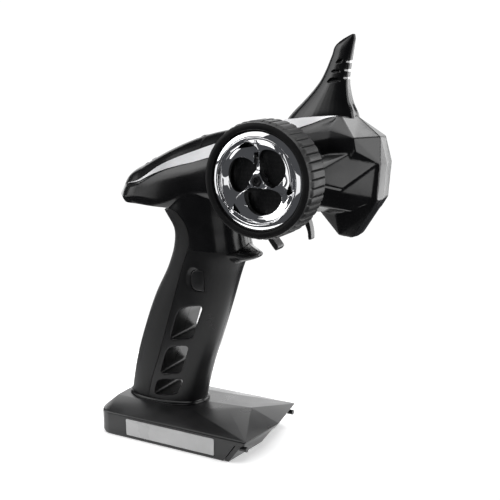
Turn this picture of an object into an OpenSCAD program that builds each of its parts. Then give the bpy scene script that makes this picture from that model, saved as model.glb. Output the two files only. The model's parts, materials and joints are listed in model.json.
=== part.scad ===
// Pistol-grip radio transmitter for a model car or boat: a wheel on a side pylon steers, a finger
// trigger gives throttle and brake, and a thumb button works a third channel. +X is forward, the wheel
// is on the -Y (right-hand) side, +Z is up. The origin is the centre of the base's flat underside.
// All sizes are in millimetres.

/* [Housing] */
// Wall thickness of the moulded shells
wall = 2.2; // [1.8:0.1:2.6]
// Height of the parting plane between the head and the grip
parting_z = 118.8; // [117:0.2:120]
// Clearance between neighbouring mouldings
seam_gap = 0.12; // [0.05:0.01:0.2]

/* [Steering wheel] */
// Height of the steering axis
wheel_z = 169; // [167:0.5:171]
// Forward place of the steering axis
wheel_x = 80.5; // [79:0.5:82]
// Outer radius of the ribbed tyre
tyre_r = 29.5; // [28:0.1:30]
// Outer radius of the chrome face, which the tyre is stretched over
chrome_r = 24.9; // [24:0.1:25.6]
// Width of the tyre
tyre_w = 18.8; // [17:0.1:19]

/* [Trigger] */
// Width of the finger trigger across the hand
trigger_w = 8.4; // [8:0.2:10]
// Radius of the trigger shaft
trigger_shaft_r = 2; // [1.8:0.1:2.2]

/* [Base] */
// Half of the base's width
base_half_w = 33.3; // [32:0.1:34]
// Height of the base's upright side wall
base_edge_z = 14.8; // [14:0.2:16]
// Height of the flat deck that the grip stands on
deck_z = 19.5; // [19:0.1:20]

/* [Hidden] */
$fn = 48;
far = 300;
fit = 0.05;                     // radial play of a shaft in its bore
move_gap = 0.4;                 // air between pieces that move past each other

// Head stations from tail to nose: [x, crown z, shoulder y, shoulder z, trim's lower y, trim's lower z,
// side y, underside z]
HEAD = [
    [-43, 151.0, 3.5, 149.8, 4.5, 148.6, 6.0, 144.6],
    [-38, 157.4, 8.0, 152.6, 9.5, 150.2, 11.0, 142.0],
    [-25, 165.8, 12.0, 156.6, 14.5, 154.0, 15.5, 141.4],
    [-10, 173.7, 13.5, 165.6, 17.0, 161.3, 18.3, 140.0],
    [18, 185.1, 14.0, 176.8, 18.0, 170.4, 20.0, 148.0],
    [46, 191.3, 14.0, 186.0, 18.5, 179.0, 21.0, 149.0],
    [72, 195.6, 14.0, 195.0, 18.5, 187.8, 21.0, 149.0],
    [100, 198.6, 14.0, 198.2, 17.0, 196.6, 20.0, 149.0]
];
// Grip slices from the foot up: [z, centre x, half depth, half width]
GRIP = [
    [19.5, -14.4, 25.4, 15.4], [41, -9.7, 26.0, 15.3], [64, -2.4, 26.3, 15.2], [87, 5.8, 25.5, 15.2],
    [106, 13.6, 23.4, 15.6], [118.8, 18.0, 23.4, 16.6], [129, 18.2, 23.0, 17.6], [141, 14.6, 26.6, 18.6],
    [152, 14.0, 28.0, 19.4]
];
// Side outline of the rubber backstrap, closed far behind the grip
STRAP_SEAM = [
    [-6, 142], [3.4, 140.8], [8.5, 136.5], [11.5, 131], [12.4, 125], [10.9, 118], [6.6, 108], [1.4, 92],
    [-5.6, 69.6], [-12, 48.8], [-17.3, 33.7], [-20.6, 19.4]
];
// Corners of the three lightening windows that pass through the grip, from the top down
WINDOWS = [
    [[-3.4, 61.2], [11.4, 64.2], [19.2, 85.1], [9.1, 83.3], [4.2, 81], [1.4, 76.5]],
    [[-11, 38.4], [3.2, 41], [9.2, 58.9], [0, 57.4], [-4.4, 55.5], [-7, 51.3]],
    [[-16, 23.8], [0, 26.4], [4.8, 36.8], [-13, 34]]
];
// Side outline of the antenna fin: [z, rear x, front x, half width]
FIN = [
    [194, 66.0, 107.6, 7.2], [199, 70.4, 106.6, 6.6], [204.4, 76.0, 104.3, 5.6], [210, 81.4, 103.0, 4.6],
    [216, 86.2, 102.4, 3.7], [222, 89.4, 103.0, 3.1], [229, 92.4, 104.2, 2.6], [235, 95.2, 105.2, 2.1],
    [238, 99.6, 105.7, 1.7], [240, 103.8, 105.2, 1.2]
];
// Housing screws, which come in from the left: [x, z, y of the head's seat]
SCREWS = [
    [-26, 150, 11], [22, 134, 13], [96, 189, 13], [111, 160, 11], [30, 108, 9], [8, 88.4, 10]
];
screw_head_r = 2.5;
screw_r = 1.4;
boss_r = 3.2;

// Steering stack, by y
wheel_face_y = -64.2;
tyre_back_y = wheel_face_y + tyre_w;
pylon_end_y = -43;
pylon_r = 16;
shaft_r = 3;
shaft_tip_y = -15.5;
hub_front_y = wheel_face_y + 4.8;

// Trigger pivot
trigger_x = 72;
trigger_z = 163;

// Control decks: rear deck on the rear cap, front deck on the front cap
rear_deck = [-4, 176.55, 24.4];     // x, crown z, slope in degrees
front_deck = [42, 190.1, 11.6];
deck_sink = 2.5;                    // depth of the control channel below the crown
cap_split_x = 19;
channel_half_w = 7;
dial_r = 5.6;
dial_pitch = 13;

// Thumb button
button_x = 16.7;
button_z = 100.4;
button_back_y = -10.4;
BUTTON_PEGS = [[8.6, 100.4], [25.2, 100.4]];

// Base
plate_t = 2;                        // thickness of the bottom plate and of the battery cover
cover_half_w = 29.1;
cover_rear_x = 12.4;
bay_top_z = 11.6;
FOOT_SCREWS = [[-27, 7], [-27, -7], [1, 8.5], [1, -8.5]];
PLATE_SCREWS = [[-37, 24], [-37, -24], [7, 24], [7, -24]];

// Circuit board in the head
board_y = 8;
BOARD_SCREWS = [[0, 153], [48, 156]];

// ---- helpers ----

// Convex solid over a list of points
module point_hull(points) {
    hull() polyhedron(points = points, faces = [[for (i = [0 : len(points) - 1]) i]]);
}

// Solid through a row of cross-sections, each a list of points
module hull_chain(sections) {
    for (i = [0 : len(sections) - 2]) point_hull(concat(sections[i], sections[i + 1]));
}

// A side outline in X and Z, extruded across Y between y0 and y1
module across(y0, y1) {
    translate([0, y1, 0]) rotate([90, 0, 0]) linear_extrude(y1 - y0) children();
}

// A rod along Y
module rod_y(x, z, y0, y1, r) {
    translate([x, y1, z]) rotate([90, 0, 0]) cylinder(r = r, h = y1 - y0);
}

// Half space: side -1 is the right half, +1 the left half
module half_space(side, gap = 0) {
    translate([-far, side < 0 ? -far - gap : gap, -10]) cube([2 * far, far, 2 * far]);
}

function mirror_y(points) = [for (p = points) [p[0], -p[1], p[2]]];
function both_sides(points) = concat(points, mirror_y(points));

// Position and rotation of a place on a control deck: along is the distance towards the nose
module on_deck(deck, along, side = 0) {
    translate([deck[0], side, deck[1] - deck_sink]) rotate([0, -deck[2], 0]) translate([along, 0, 0])
        children();
}

// Points of a coil about a Y axis
function coil_path(x, z, y0, pitch, turns, r, steps = 14) =
    [for (i = [0 : turns * steps]) let (a = 360 * i / steps)
        [x + r * cos(a), y0 + pitch * i / steps, z + r * sin(a)]];

// The same coil with a straight leg down at each end
function coil_with_legs(x, z, y0, pitch, turns, r, leg) = concat(
    [[x + r, y0, z - leg]], coil_path(x, z, y0, pitch, turns, r),
    [[x + r + 0.01, y0 + pitch * turns, z + leg]]);

// Smooth route through hand-placed points
function spline_point(a, b, c, d, t) =
    0.5 * (2 * b + (c - a) * t + (2 * a - 5 * b + 4 * c - d) * t * t + (3 * b - a - 3 * c + d) * t * t * t);
function smooth_route(p, steps = 4) = let (n = len(p))
    concat([for (i = [0 : n - 2], k = [0 : steps - 1])
        spline_point(p[max(i - 1, 0)], p[i], p[i + 1], p[min(i + 2, n - 1)], k / steps)], [p[n - 1]]);

// Round tube swept along a path that runs mostly in the X-Z plane
module tube(path, r, sides = 8) {
    n = len(path);
    rings = [for (i = [0 : n - 1])
        let (d = path[min(i + 1, n - 1)] - path[max(i - 1, 0)],
             v0 = cross(d, [0, 1, 0]), v = v0 / norm(v0), w0 = cross(v, d), w = w0 / norm(w0))
        for (k = [0 : sides - 1]) let (a = 360 * k / sides) path[i] + r * (v * cos(a) + w * sin(a))];
    polyhedron(points = rings, faces = concat(
        [[for (k = [0 : sides - 1]) k]],
        [for (i = [0 : n - 2], k = [0 : sides - 1]) let (a = i * sides, b = (k + 1) % sides)
            [a + k, a + sides + k, a + sides + b, a + b]],
        [[for (k = [sides - 1 : -1 : 0]) (n - 1) * sides + k]]));
}

// ---- outlines ----

// Cross-section of the head at a station, drawn in by t
function head_section(s, t) = both_sides([
    [s[0], 0, s[7] + t], [s[0], (s[6] - t) * 0.72, s[7] + t], [s[0], s[6] - t, s[7] + 5],
    [s[0], s[6] - t, s[5] - 6], [s[0], s[4] - t, s[5] - t / 2], [s[0], s[2] - t * 0.8, s[3] - t * 0.9],
    [s[0], s[2] * 0.6, s[1] - 0.3 - t], [s[0], 0, s[1] - t]
]);

// Front facets of the nose
function nose_points(t) = both_sides([
    [106.9 - t, 0, 198.2 - t], [104.6 - t, 8.8, 198.2 - t], [121.7 - t, 0, 186.5], [115.3 - t, 18.2 - t, 187],
    [114.6 - t, 19.4 - t, 181.6], [124.7 - t, 0, 173.8], [123.7 - t, 7.2, 174], [123.2 - t, 0, 154.6],
    [122.4 - t, 7.0, 155], [120.6 - t, 0, 149], [119.4 - t, 7, 149], [101, 19.6 - t, 149]
]);

// Hooked muzzle in front of the trigger
function muzzle_points(t) = both_sides([
    [120.6 - t, 0, 149], [119.4 - t, 7, 149], [109.9 - t, 0, 134 + t], [108.7 - t, 6.3, 134 + t],
    [104.4, 13 - t, 136.4 + t], [105.2, 0, 138], [98 + t, 0, 149], [98 + t, 17.5 - t, 149], [102, 19.4 - t, 149]
]);

module head_solid(t) {
    hull_chain([for (s = HEAD) head_section(s, t)]);
    point_hull(concat(head_section(HEAD[len(HEAD) - 1], t), nose_points(t)));
    point_hull(muzzle_points(t));
}

module head_cavity() {
    intersection() {
        head_solid(wall);
        translate([HEAD[0][0] + wall, -far, 0]) cube(2 * far);
    }
}

// Pylon that carries the wheel, blended forward into the nose's front strip
module pylon_solid(t) {
    end_y = pylon_end_y + (t > 0 ? wall * 1.2 : 0);
    hull() {
        rod_y(wheel_x, wheel_z, end_y, end_y + 1, pylon_r - t, $fn = 32);
        rod_y(wheel_x - 2, wheel_z - 1, -20, -19, 27 - t, $fn = 32);
    }
    hull() {
        rod_y(wheel_x, wheel_z, end_y + 3, end_y + 4, pylon_r - t, $fn = 32);
        point_hull([[114.4 - t, -19 + t, 181], [122.6 - t, -7.4 + t, 173.4 - t],
            [121.4 - t, -7.2 + t, 155.6 + t], [112 - t, -14 + t, 150 + t], [96, -19 + t, 149 + t],
            [96, -19 + t, 186 - t]]);
    }
}

function grip_slice(g, t, n = 28) = [for (i = [0 : n - 1]) let (a = 360 * i / n, p = 0.84)
    [g[1] + (g[2] - t) * sign(cos(a)) * pow(abs(cos(a)), p),
     (g[3] - t) * sign(sin(a)) * pow(abs(sin(a)), p), g[0]]];

module grip_solid(t) {
    hull_chain([for (g = GRIP) grip_slice(g, t)]);
}

// Finger shelf under the trigger
module shelf_solid() {
    point_hull(both_sides([
        [50.4, 4, 115.9], [49.6, 6.5, 116], [45.2, 9, 118.2], [40, 12, parting_z], [33, 12.5, parting_z],
        [47, 7, 113.7], [40.4, 10, 112], [32.2, 12, 110.2]
    ]));
}

module strap_region(grow) {
    across(-40, 40) offset(delta = grow)
        polygon(concat(STRAP_SEAM, [[-80, 19.4 - 2 * grow], [-80, 142]]));
}

module window_outline(corners, grow) {
    offset(delta = grow) offset(r = 2.2, $fn = 32) offset(delta = -2.2) polygon(corners);
}

// Zone that the two top caps fill: cut out of the head between its two shoulder lines
function cap_low(s) = min(s[3] - 1.6, s[1] - 4.8);
function cap_section(s, t) = let (low = cap_low(s), rise = s[3] - low) both_sides([
    [s[0], s[2] - 1.3, low - t], [s[0], s[2] + 3.9 + t, s[3] + 3 * rise], [s[0], 0, s[1] + 6]
]);
function cap_hollow(s) = both_sides([
    [s[0], s[2] - 3.4, cap_low(s) - 1], [s[0], min(s[2] - 3.6, 8.6), max(s[1] - 4.6, cap_low(s))]
]);

module cap_zone(t = 0) {
    hull_chain([for (i = [1 : 7]) cap_section(HEAD[i], t)]);
    point_hull(concat(cap_section(HEAD[7], t), both_sides([[104.4, 8.6, 204], [104.4, 8, 192.6 - t]])));
}

// Silver trim strip let into the shoulder of the head, tapering to nothing at both ends
TRIM_TAPER = [0, 0.25, 0.7, 1, 1, 1, 0.12];
function trim_section(i, grow) = let (s = HEAD[i], k = TRIM_TAPER[i - 1], y1 = s[2] + 0.2,
    z1 = s[3] + 0.15, y2 = y1 + (s[4] - s[2]) * max(k, 0.08), z2 = z1 + (s[5] - s[3]) * max(k, 0.08))
    [[s[0], y1, z1], [s[0], y2, z2], [s[0], y2 - 1.2 - grow, z2 - 0.6 - grow],
     [s[0], y1 - 1.0 - grow, z1 - 1.0 - grow]];

module trim_strip(side, grow = 0) {
    mirror([0, side < 0 ? 1 : 0, 0]) hull_chain([for (i = [1 : 7]) trim_section(i, grow)]);
}

// ---- housing ----

// Screw posts: side -1 carries the threads, side +1 the heads
module screw_posts(side, rows) {
    for (s = rows) rod_y(s[0], s[1], side < 0 ? -19 : 0, side < 0 ? 0 : 19, boss_r, $fn = 24);
}

module screw_holes(side, rows) {
    for (s = rows) {
        if (side < 0) rod_y(s[0], s[1], -9, 1, screw_r + seam_gap, $fn = 24);
        if (side > 0) {
            rod_y(s[0], s[1], -1, 40, screw_r + seam_gap, $fn = 24);
            rod_y(s[0], s[1], s[2], 40, screw_head_r + 0.3, $fn = 24);
        }
    }
}

module upper_part() {
    translate([-far, -far, parting_z + seam_gap / 2]) cube([2 * far, 2 * far, far]);
}

module head_outer(side) {
    head_solid(0);
    intersection() {
        grip_solid(0);
        upper_part();
    }
    if (side < 0) pylon_solid(0);
}

module head_half(side) {
    rows = [for (s = SCREWS) if (s[1] > parting_z) s];
    difference() {
        intersection() {
            half_space(side, seam_gap / 2);
            union() {
                difference() {
                    head_outer(side);
                    head_cavity();
                    grip_solid(wall);
                    if (side < 0) pylon_solid(wall);
                    strap_region(seam_gap);
                }
                intersection() {
                    head_solid(0.3);
                    union() {
                        screw_posts(side, [for (s = rows) if (s[1] > 140) s]);
                        if (side > 0) for (p = BOARD_SCREWS) rod_y(p[0], p[1], board_y + 1.7, 19, 3, $fn = 24);
                    }
                }
                intersection() {
                    grip_solid(0.3);
                    screw_posts(side, [for (s = rows) if (s[1] < 140) s]);
                }
            }
        }
        cap_zone(seam_gap);
        trim_strip(side, seam_gap);
        screw_holes(side, rows);
        if (side > 0) for (p = BOARD_SCREWS) rod_y(p[0], p[1], 0, 15, screw_r + seam_gap, $fn = 24);
        // mouth that the trigger hangs through
        translate([48, -7, 140]) cube([42, 14, 14]);
        if (side < 0) rod_y(wheel_x, wheel_z, -50, -30, 6 + fit);
        // the pylon opens into the head
        if (side < 0) rod_y(wheel_x, wheel_z, -30, 0, 13);
    }
}

module head_right() color([0.06, 0.06, 0.065]) head_half(-1);
module head_left() color([0.06, 0.06, 0.065]) head_half(1);

module grip_half(side) {
    rows = [for (s = SCREWS) if (s[1] < parting_z) s];
    difference() {
        intersection() {
            half_space(side, seam_gap / 2);
            translate([-far, -far, deck_z]) cube([2 * far, 2 * far, parting_z - seam_gap / 2 - deck_z]);
            union() {
                difference() {
                    union() {
                        grip_solid(0);
                        shelf_solid();
                    }
                    difference() {
                        grip_solid(wall);
                        // closed tunnels round the windows
                        for (w = WINDOWS) across(-40, 40) window_outline(w, 1.7);
                    }
                    strap_region(seam_gap);
                }
                // foot plate
                intersection() {
                    union() {
                        grip_solid(wall + seam_gap);
                        difference() {
                            grip_solid(0.3);
                            strap_region(seam_gap);
                        }
                    }
                    translate([-60, -30, deck_z]) cube([90, 60, 3]);
                }
                intersection() {
                    grip_solid(0.3);
                    union() {
                        screw_posts(side, rows);
                        if (side < 0) for (p = BUTTON_PEGS) rod_y(p[0], p[1], -19, -5.05, 1.6, $fn = 24);
                    }
                }
            }
        }
        for (w = WINDOWS) across(-40, 40) window_outline(w, 0);
        screw_holes(side, rows);
        upright_holes(FOOT_SCREWS, screw_r + seam_gap, 10, deck_z + 2.4);
        translate([-33, 0, deck_z - 1]) cylinder(r = 2.2, h = 6, $fn = 24);
        if (side < 0) across(-30, -11) button_outline(move_gap);
    }
}

module grip_right() color([0.08, 0.08, 0.085]) grip_half(-1);
module grip_left() color([0.08, 0.08, 0.085]) grip_half(1);

module backstrap() color([0.1, 0.1, 0.1])
    difference() {
        intersection() {
            difference() {
                grip_solid(0);
                grip_solid(wall);
            }
            strap_region(0);
            translate([-far, -far, deck_z]) cube([2 * far, 2 * far, far]);
        }
        // the tail of the head laps over the strap's top end
        hull_chain([for (i = [1 : 4]) head_section(HEAD[i], -seam_gap)]);
    }

// Raised rails leave a sunk channel for the controls
module control_channel() {
    for (d = [[rear_deck, -21.5, 21.5], [front_deck, -20.5, 20.5]])
        on_deck(d[0], d[1]) translate([0, -channel_half_w, 0]) cube([d[2] - d[1], 2 * channel_half_w, 8]);
}

module cap_piece(x0, x1) {
    difference() {
        intersection() {
            head_solid(0);
            cap_zone();
            translate([x0, -30, 100]) cube([x1 - x0, 60, 150]);
        }
        difference() {
            hull_chain([for (i = [2 : 5]) cap_hollow(HEAD[i])]);
            translate([cap_split_x - 1.6, -30, 100]) cube([3.2, 60, 150]);
        }
        control_channel();
        trim_strip(-1, seam_gap);
        trim_strip(1, seam_gap);
    }
}

module rear_cap() color([0.05, 0.05, 0.05])
    difference() {
        cap_piece(-60, cap_split_x - seam_gap);
        on_deck(rear_deck, 15) {
            cube([11, 5.2, 12], center = true);
            translate([0, 0, -5.5]) cube([13.6, 7.6, 7], center = true);
        }
        for (y = [-3.5, 3.5]) on_deck(rear_deck, 5, y) cylinder(r = 1.5 + fit, h = 12, center = true, $fn = 24);
        on_deck(rear_deck, -5) cylinder(r = 2.5 + move_gap, h = 14, center = true, $fn = 32);
        for (y = [-3.6, 3.6]) on_deck(rear_deck, -14.5, y) {
            cube([8, 3.2, 16], center = true);
            translate([0, 0, -5.6]) cube([9.6, 5.2, 7], center = true);
        }
    }

module front_cap() color([0.05, 0.05, 0.05])
    difference() {
        cap_piece(cap_split_x + seam_gap, far);
        for (k = [-1, 0, 1]) on_deck(front_deck, k * dial_pitch)
            cylinder(r = 1.5 + move_gap, h = 20, center = true, $fn = 32);
        antenna_channel(2.0);
    }

module trim_right() color([0.75, 0.76, 0.78]) trim_strip(-1);
module trim_left() color([0.75, 0.76, 0.78]) trim_strip(1);

// ---- antenna ----

module antenna_channel(r) {
    translate([85, 0, 190]) rotate([0, 22, 0]) translate([0, 0, -4]) cylinder(r = r, h = 50, $fn = 24);
}

function fin_slice(f) = both_sides([
    [f[1], f[3] * 0.3, f[0]], [f[1] + (f[2] - f[1]) * 0.3, f[3] * 0.85, f[0]],
    [f[2] - (f[2] - f[1]) * 0.25, f[3], f[0]], [f[2] - 0.6, f[3] * 0.9, f[0]], [f[2], 0, f[0]]
]);

// Gills of the fin: side outline, and how far from the middle plane each one bottoms out
GILLS = [
    [[[95.5, 224.8], [97.2, 226.3], [100, 227.1], [98.9, 225.3]], 1.7],
    [[[93, 220.1], [94.6, 221.4], [98, 221.4], [98.6, 220.4]], 2.1],
    [[[90.7, 214.7], [93.2, 217], [97.2, 217.3], [99.2, 215.8]], 2.5]
];

module antenna_fin() color([0.05, 0.05, 0.05])
    difference() {
        hull_chain([for (f = FIN) fin_slice(f)]);
        head_solid(0);
        antenna_channel(1.7);
        // three gills on each side, and a nick in the front edge level with each
        for (g = GILLS, s = [-1, 1]) mirror([0, s > 0 ? 1 : 0, 0]) across(-12, -g[1]) polygon(g[0]);
        for (n = [[101.4, 225.7], [102.2, 221.3], [101.4, 217.3]])
            translate([n[0], -5, n[1] - 0.8]) cube([6, 10, 1.6]);
    }

module antenna_rod() color("silver")
    translate([85, 0, 190]) rotate([0, 22, 0]) cylinder(r = 1.4, h = 40);

module antenna_cable() color([0.2, 0.2, 0.2])
    tube(smooth_route([[84.6, 0, 189.4], [80, 4, 184], [70, 10, 180], [58, 11.5, 176], [50, 11.5, 171]]), 0.7, 6);

// ---- base ----

module upright_holes(places, r, z0, z1) {
    for (p = places) translate([p[0], p[1], z0]) cylinder(r = r, h = z1 - z0, $fn = 24);
}

function base_ring(z, front_x, nose_x, rear_x, y) = both_sides([
    [rear_x, y - 9.3, z], [rear_x + 3, y - 3, z], [rear_x + 9, y, z], [front_x, y, z], [nose_x, 0, z]
]);

// The flat part of the deck, under the grip and the collar, ends here
deck_front_x = 14.4;

module base_body() {
    point_hull(concat(
        base_ring(0, 47.2, 51.8, -46, base_half_w - 0.4), base_ring(2, 48.7, 53.3, -47, base_half_w),
        base_ring(base_edge_z - 1, 57.6, 62.2, -47, base_half_w),
        base_ring(base_edge_z, 58.3, 62.9, -46.6, base_half_w - 0.5),
        both_sides([[-42, 17, deck_z], [deck_front_x, 17, deck_z], [44, 16, 17.4], [44.4, 0, deck_z]])));
    // the deck rises to a peak in front of the collar
    point_hull(both_sides([[deck_front_x, 14, deck_z - 0.05], [deck_front_x, 0, deck_z], [44, 16, 17.4],
        [44.4, 0, 21.2], [58.3, base_half_w - 0.5, base_edge_z], [62.9, 0, base_edge_z]]));
}

module base_shell() color([0.07, 0.07, 0.075])
    difference() {
        base_body();
        // battery bay, open underneath and towards the front, with posts for the plate's screws
        difference() {
            translate([-42, -cover_half_w - move_gap, -1])
                cube([140, 2 * (cover_half_w + move_gap), bay_top_z + 1]);
            upright_holes(PLATE_SCREWS, 4, plate_t, 20);
        }
        // grooves for the cover's rails
        translate([cover_rear_x - 2, -cover_half_w - 2, 1]) cube([140, 2 * cover_half_w + 4, 1.6]);
        // undercut front, filled by the cover's front wall
        for (s = [-1, 1]) point_hull([[38.7, s * 60, -1], [47.3, s * 60, bay_top_z], [90, s * 60, -1],
            [90, s * 60, bay_top_z], [47.1, 0, -1], [55.8, 0, bay_top_z], [90, 0, -1], [90, 0, bay_top_z]]);
        upright_holes(FOOT_SCREWS, screw_r + seam_gap, 10, 30);
        upright_holes(FOOT_SCREWS, screw_head_r + 0.3, 5, 13.5);
        upright_holes(PLATE_SCREWS, screw_r + seam_gap, 0, 10.4);
        // lead hole, recess for the label plate and hole for the charging socket
        upright_holes([[-33, 0]], 2.2, 5, 30);
        translate([-25, -base_half_w - 5, 1.8]) cube([63, 5.4, 11.4]);
        translate([-60, -5.2, 3.6]) cube([20, 10.4, 6.4]);
    }

module base_plate() color([0.07, 0.07, 0.075])
    difference() {
        translate([-41.9, -cover_half_w - 0.3, 0])
            cube([cover_rear_x - move_gap + 41.9, 2 * cover_half_w + 0.6, plate_t]);
        upright_holes(PLATE_SCREWS, screw_r + 0.1, -1, 5);
        upright_holes(PLATE_SCREWS, screw_head_r + 0.2, -1, 1);
    }

module grip_collar() color([0.09, 0.09, 0.09])
    translate([0, 0, deck_z]) linear_extrude(2.2) difference() {
        polygon([for (p = grip_slice([0, -14.0, 26.8, 16.8], 0, 40)) [p[0], p[1]]]);
        polygon([for (p = grip_slice([0, -14.0, 25.9, 15.7], 0, 40)) [p[0], p[1]]]);
    }

module battery_cover() color([0.07, 0.07, 0.075]) {
    translate([cover_rear_x, -cover_half_w, 0.4])
        cube([45 - cover_rear_x, 2 * cover_half_w, plate_t + 0.2]);
    for (s = [-1, 1]) translate([cover_rear_x, s > 0 ? cover_half_w - 0.1 : -cover_half_w - 1.5, 1.3])
        cube([44 - cover_rear_x, 1.6, 1]);
    for (s = [-1, 1]) hull() {
        point_hull([[44.0, s * 32.6, 0.4], [46.9, s * 32.6, 0.4],
            [51.4, s * 32.6, 11.2], [54.8, s * 32.6, 11.2]]);
        point_hull([[48.6, 0, 0.4], [51.5, 0, 0.4], [56.0, 0, 11.2], [59.4, 0, 11.2]]);
    }
    // pull lugs at the two front corners
    for (s = [-1, 1]) translate([53.4, s * 30.6, 9.3]) rotate([0, 90, 0]) cylinder(r = 1.5, h = 4.6, $fn = 24);
}

module battery_pack() color([0.2, 0.3, 0.55])
    translate([-20, -17, 3.4]) linear_extrude(6.2) union() {
        translate([2, 0]) square([49, 34]);
        translate([0, 2]) square([53, 30]);
        for (x = [2, 51], y = [2, 32]) translate([x, y]) circle(r = 2);
    }

module battery_contacts() color("gold")
    for (y = [-6, 0, 6]) {
        translate([-24.5, y - 1.2, 4.2]) cube([0.6, 2.4, 6.8]);
        translate([-24, y - 1.2, 5]) cube([3.6, 2.4, 0.5]);
    }

module battery_lead() color([0.6, 0.1, 0.1])
    tube(smooth_route([[-26, 0, 9.6], [-31, 0, 10.6], [-33, 0, 14], [-33, 0, 22], [-29, 1, 36], [-22, 2, 58],
        [-15, 3, 80], [-6, 4, 100], [2, 5, 122], [4, 7, 140], [4, 9, 150]]), 0.9, 6);

module label_plate() color([0.85, 0.85, 0.85])
    translate([-24.6, -base_half_w - 0.1, 2.2]) cube([62.2, 0.5, 10.6]);

module charge_socket() color("silver")
    difference() {
        translate([-46.4, -5, 3.8]) cube([8, 10, 6]);
        translate([-47, -3.6, 5.5]) cube([6, 7.2, 2.6]);
    }

// Eight alike: four hold the base to the grip's foot and four hold the bottom plate
module base_screws() color("dimgray") {
    for (p = FOOT_SCREWS) translate([p[0], p[1], 11.7]) pan_screw();
    for (p = PLATE_SCREWS) translate([p[0], p[1], 0.2]) pan_screw();
}

module pan_screw() {
    cylinder(r = screw_head_r, h = 0.8);
    cylinder(r = screw_r, h = 9.6);
}

module housing_screws() color("dimgray")
    for (s = SCREWS) {
        rod_y(s[0], s[1], s[2], s[2] + 1.8, screw_head_r);
        rod_y(s[0], s[1], -7.5, s[2] + 0.1, screw_r);
    }

// ---- electronics ----

module board_outline() {
    polygon([[-4, 150], [52, 152.4], [52, 175], [26, 172], [-4, 160]]);
}

module main_board() color([0.05, 0.3, 0.12])
    difference() {
        across(board_y, board_y + 1.6) board_outline();
        for (p = BOARD_SCREWS) rod_y(p[0], p[1], board_y - 1, board_y + 3, 1.5);
    }

module processor() color([0.1, 0.1, 0.1])
    across(board_y - 1.6, board_y) translate([14, 156]) square([12, 12]);

module rf_module() color("silver")
    across(board_y + 1.6, board_y + 4.4) translate([29, 156]) square([14, 14]);

module board_screws() color("dimgray")
    for (p = BOARD_SCREWS) {
        rod_y(p[0], p[1], board_y - 1.4, board_y, 2.4);
        rod_y(p[0], p[1], board_y - 0.1, board_y + 6, 1.4);
    }

// ---- steering ----

module steering_bush() color("goldenrod")
    difference() {
        union() {
            rod_y(wheel_x, wheel_z, pylon_end_y - 0.2, -37, 6);
            rod_y(wheel_x, wheel_z, -40.3, -37, 8);
        }
        rod_y(wheel_x, wheel_z, -60, -20, shaft_r + fit);
    }

module steering_shaft() color("silver")
    rod_y(wheel_x, wheel_z, hub_front_y + 0.2, shaft_tip_y, shaft_r);

module wheel_core() color([0.08, 0.08, 0.08])
    difference() {
        union() {
            rod_y(wheel_x, wheel_z, wheel_face_y + 3.6, tyre_back_y - 0.6, chrome_r);
            rod_y(wheel_x, wheel_z, wheel_face_y + 12, pylon_end_y - 0.9, 6);
        }
        rod_y(wheel_x, wheel_z, wheel_face_y, wheel_face_y + 8, chrome_r - 2.4);
        difference() {
            rod_y(wheel_x, wheel_z, wheel_face_y + 11, -40, chrome_r - 2.4);
            rod_y(wheel_x, wheel_z, wheel_face_y + 10, -40, 6);
        }
        rod_y(wheel_x, wheel_z, wheel_face_y + 2, -40, shaft_r + 0.02);
    }

function arc(cx, cy, r, a0, a1, n) = [for (i = [0 : n]) let (a = a0 + (a1 - a0) * i / n)
    [cx + r * cos(a), cy + r * sin(a)]];

// Comma-shaped opening between two swirling spokes, bounded outside by the bowl's edge
module comma_opening() {
    polygon(concat(arc(9, 7.3, 8.7, -115, 0, 10), arc(0, 0, 19, 24, 68, 8), arc(4.2, 14.9, 2.9, 95, 185, 4)));
}

// Small three-cornered opening near the end of each spoke
module spoke_slot() {
    polygon([[20.6, 5.0], [21.4, -0.6], [17.6, -2.4], [18.4, 0.2]]);
}

bowl_r = 22.4;
screw_seat_y = wheel_face_y + 2.6;
bowl_back_y = hub_front_y;

module chrome_face() color([0.85, 0.86, 0.88])
    difference() {
        union() {
            difference() {
                rod_y(wheel_x, wheel_z, wheel_face_y + 0.4, wheel_face_y + 3.6, chrome_r);
                rod_y(wheel_x, wheel_z, wheel_face_y - 1, wheel_face_y + 5, bowl_r - 0.2);
            }
            translate([wheel_x, bowl_back_y, wheel_z]) rotate([90, 0, 0]) linear_extrude(2.6) difference() {
                circle(r = bowl_r);
                for (k = [0 : 2]) rotate(120 * k) {
                    comma_opening();
                    spoke_slot();
                }
            }
            rod_y(wheel_x, wheel_z, wheel_face_y + 1.2, bowl_back_y, 4.4);
        }
        rod_y(wheel_x, wheel_z, -70, -40, 1.5);
        rod_y(wheel_x, wheel_z, -70, screw_seat_y, 3.1);
    }

module tyre() color([0.06, 0.06, 0.06])
    translate([wheel_x, tyre_back_y, wheel_z]) rotate([90, 0, 0]) rotate_extrude($fn = 96)
        polygon([[chrome_r + 0.02, 0], [tyre_r - 1.2, 0], [tyre_r, 1.2], [tyre_r, tyre_w - 1.2],
            [tyre_r - 1.2, tyre_w], [chrome_r + 0.02, tyre_w]]);

module wheel_screw() color("dimgray") {
    rod_y(wheel_x, wheel_z, screw_seat_y - 1.5, screw_seat_y, 2.9);
    rod_y(wheel_x, wheel_z, screw_seat_y - 0.1, hub_front_y + 0.2, 1.4);
}

// Carrier arm that the centring spring acts on
module steering_horn() color([0.85, 0.85, 0.8])
    difference() {
        union() {
            rod_y(wheel_x, wheel_z, -33, -30, 6);
            translate([wheel_x - 1.5, -33, wheel_z - 11]) cube([3, 3, 8]);
        }
        rod_y(wheel_x, wheel_z, -40, -20, shaft_r + 0.02);
    }

module steering_spring() color("silver")
    tube(coil_with_legs(wheel_x, wheel_z, -28.6, 1.4, 3, 4.6, 7), 0.5, 6);

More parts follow.
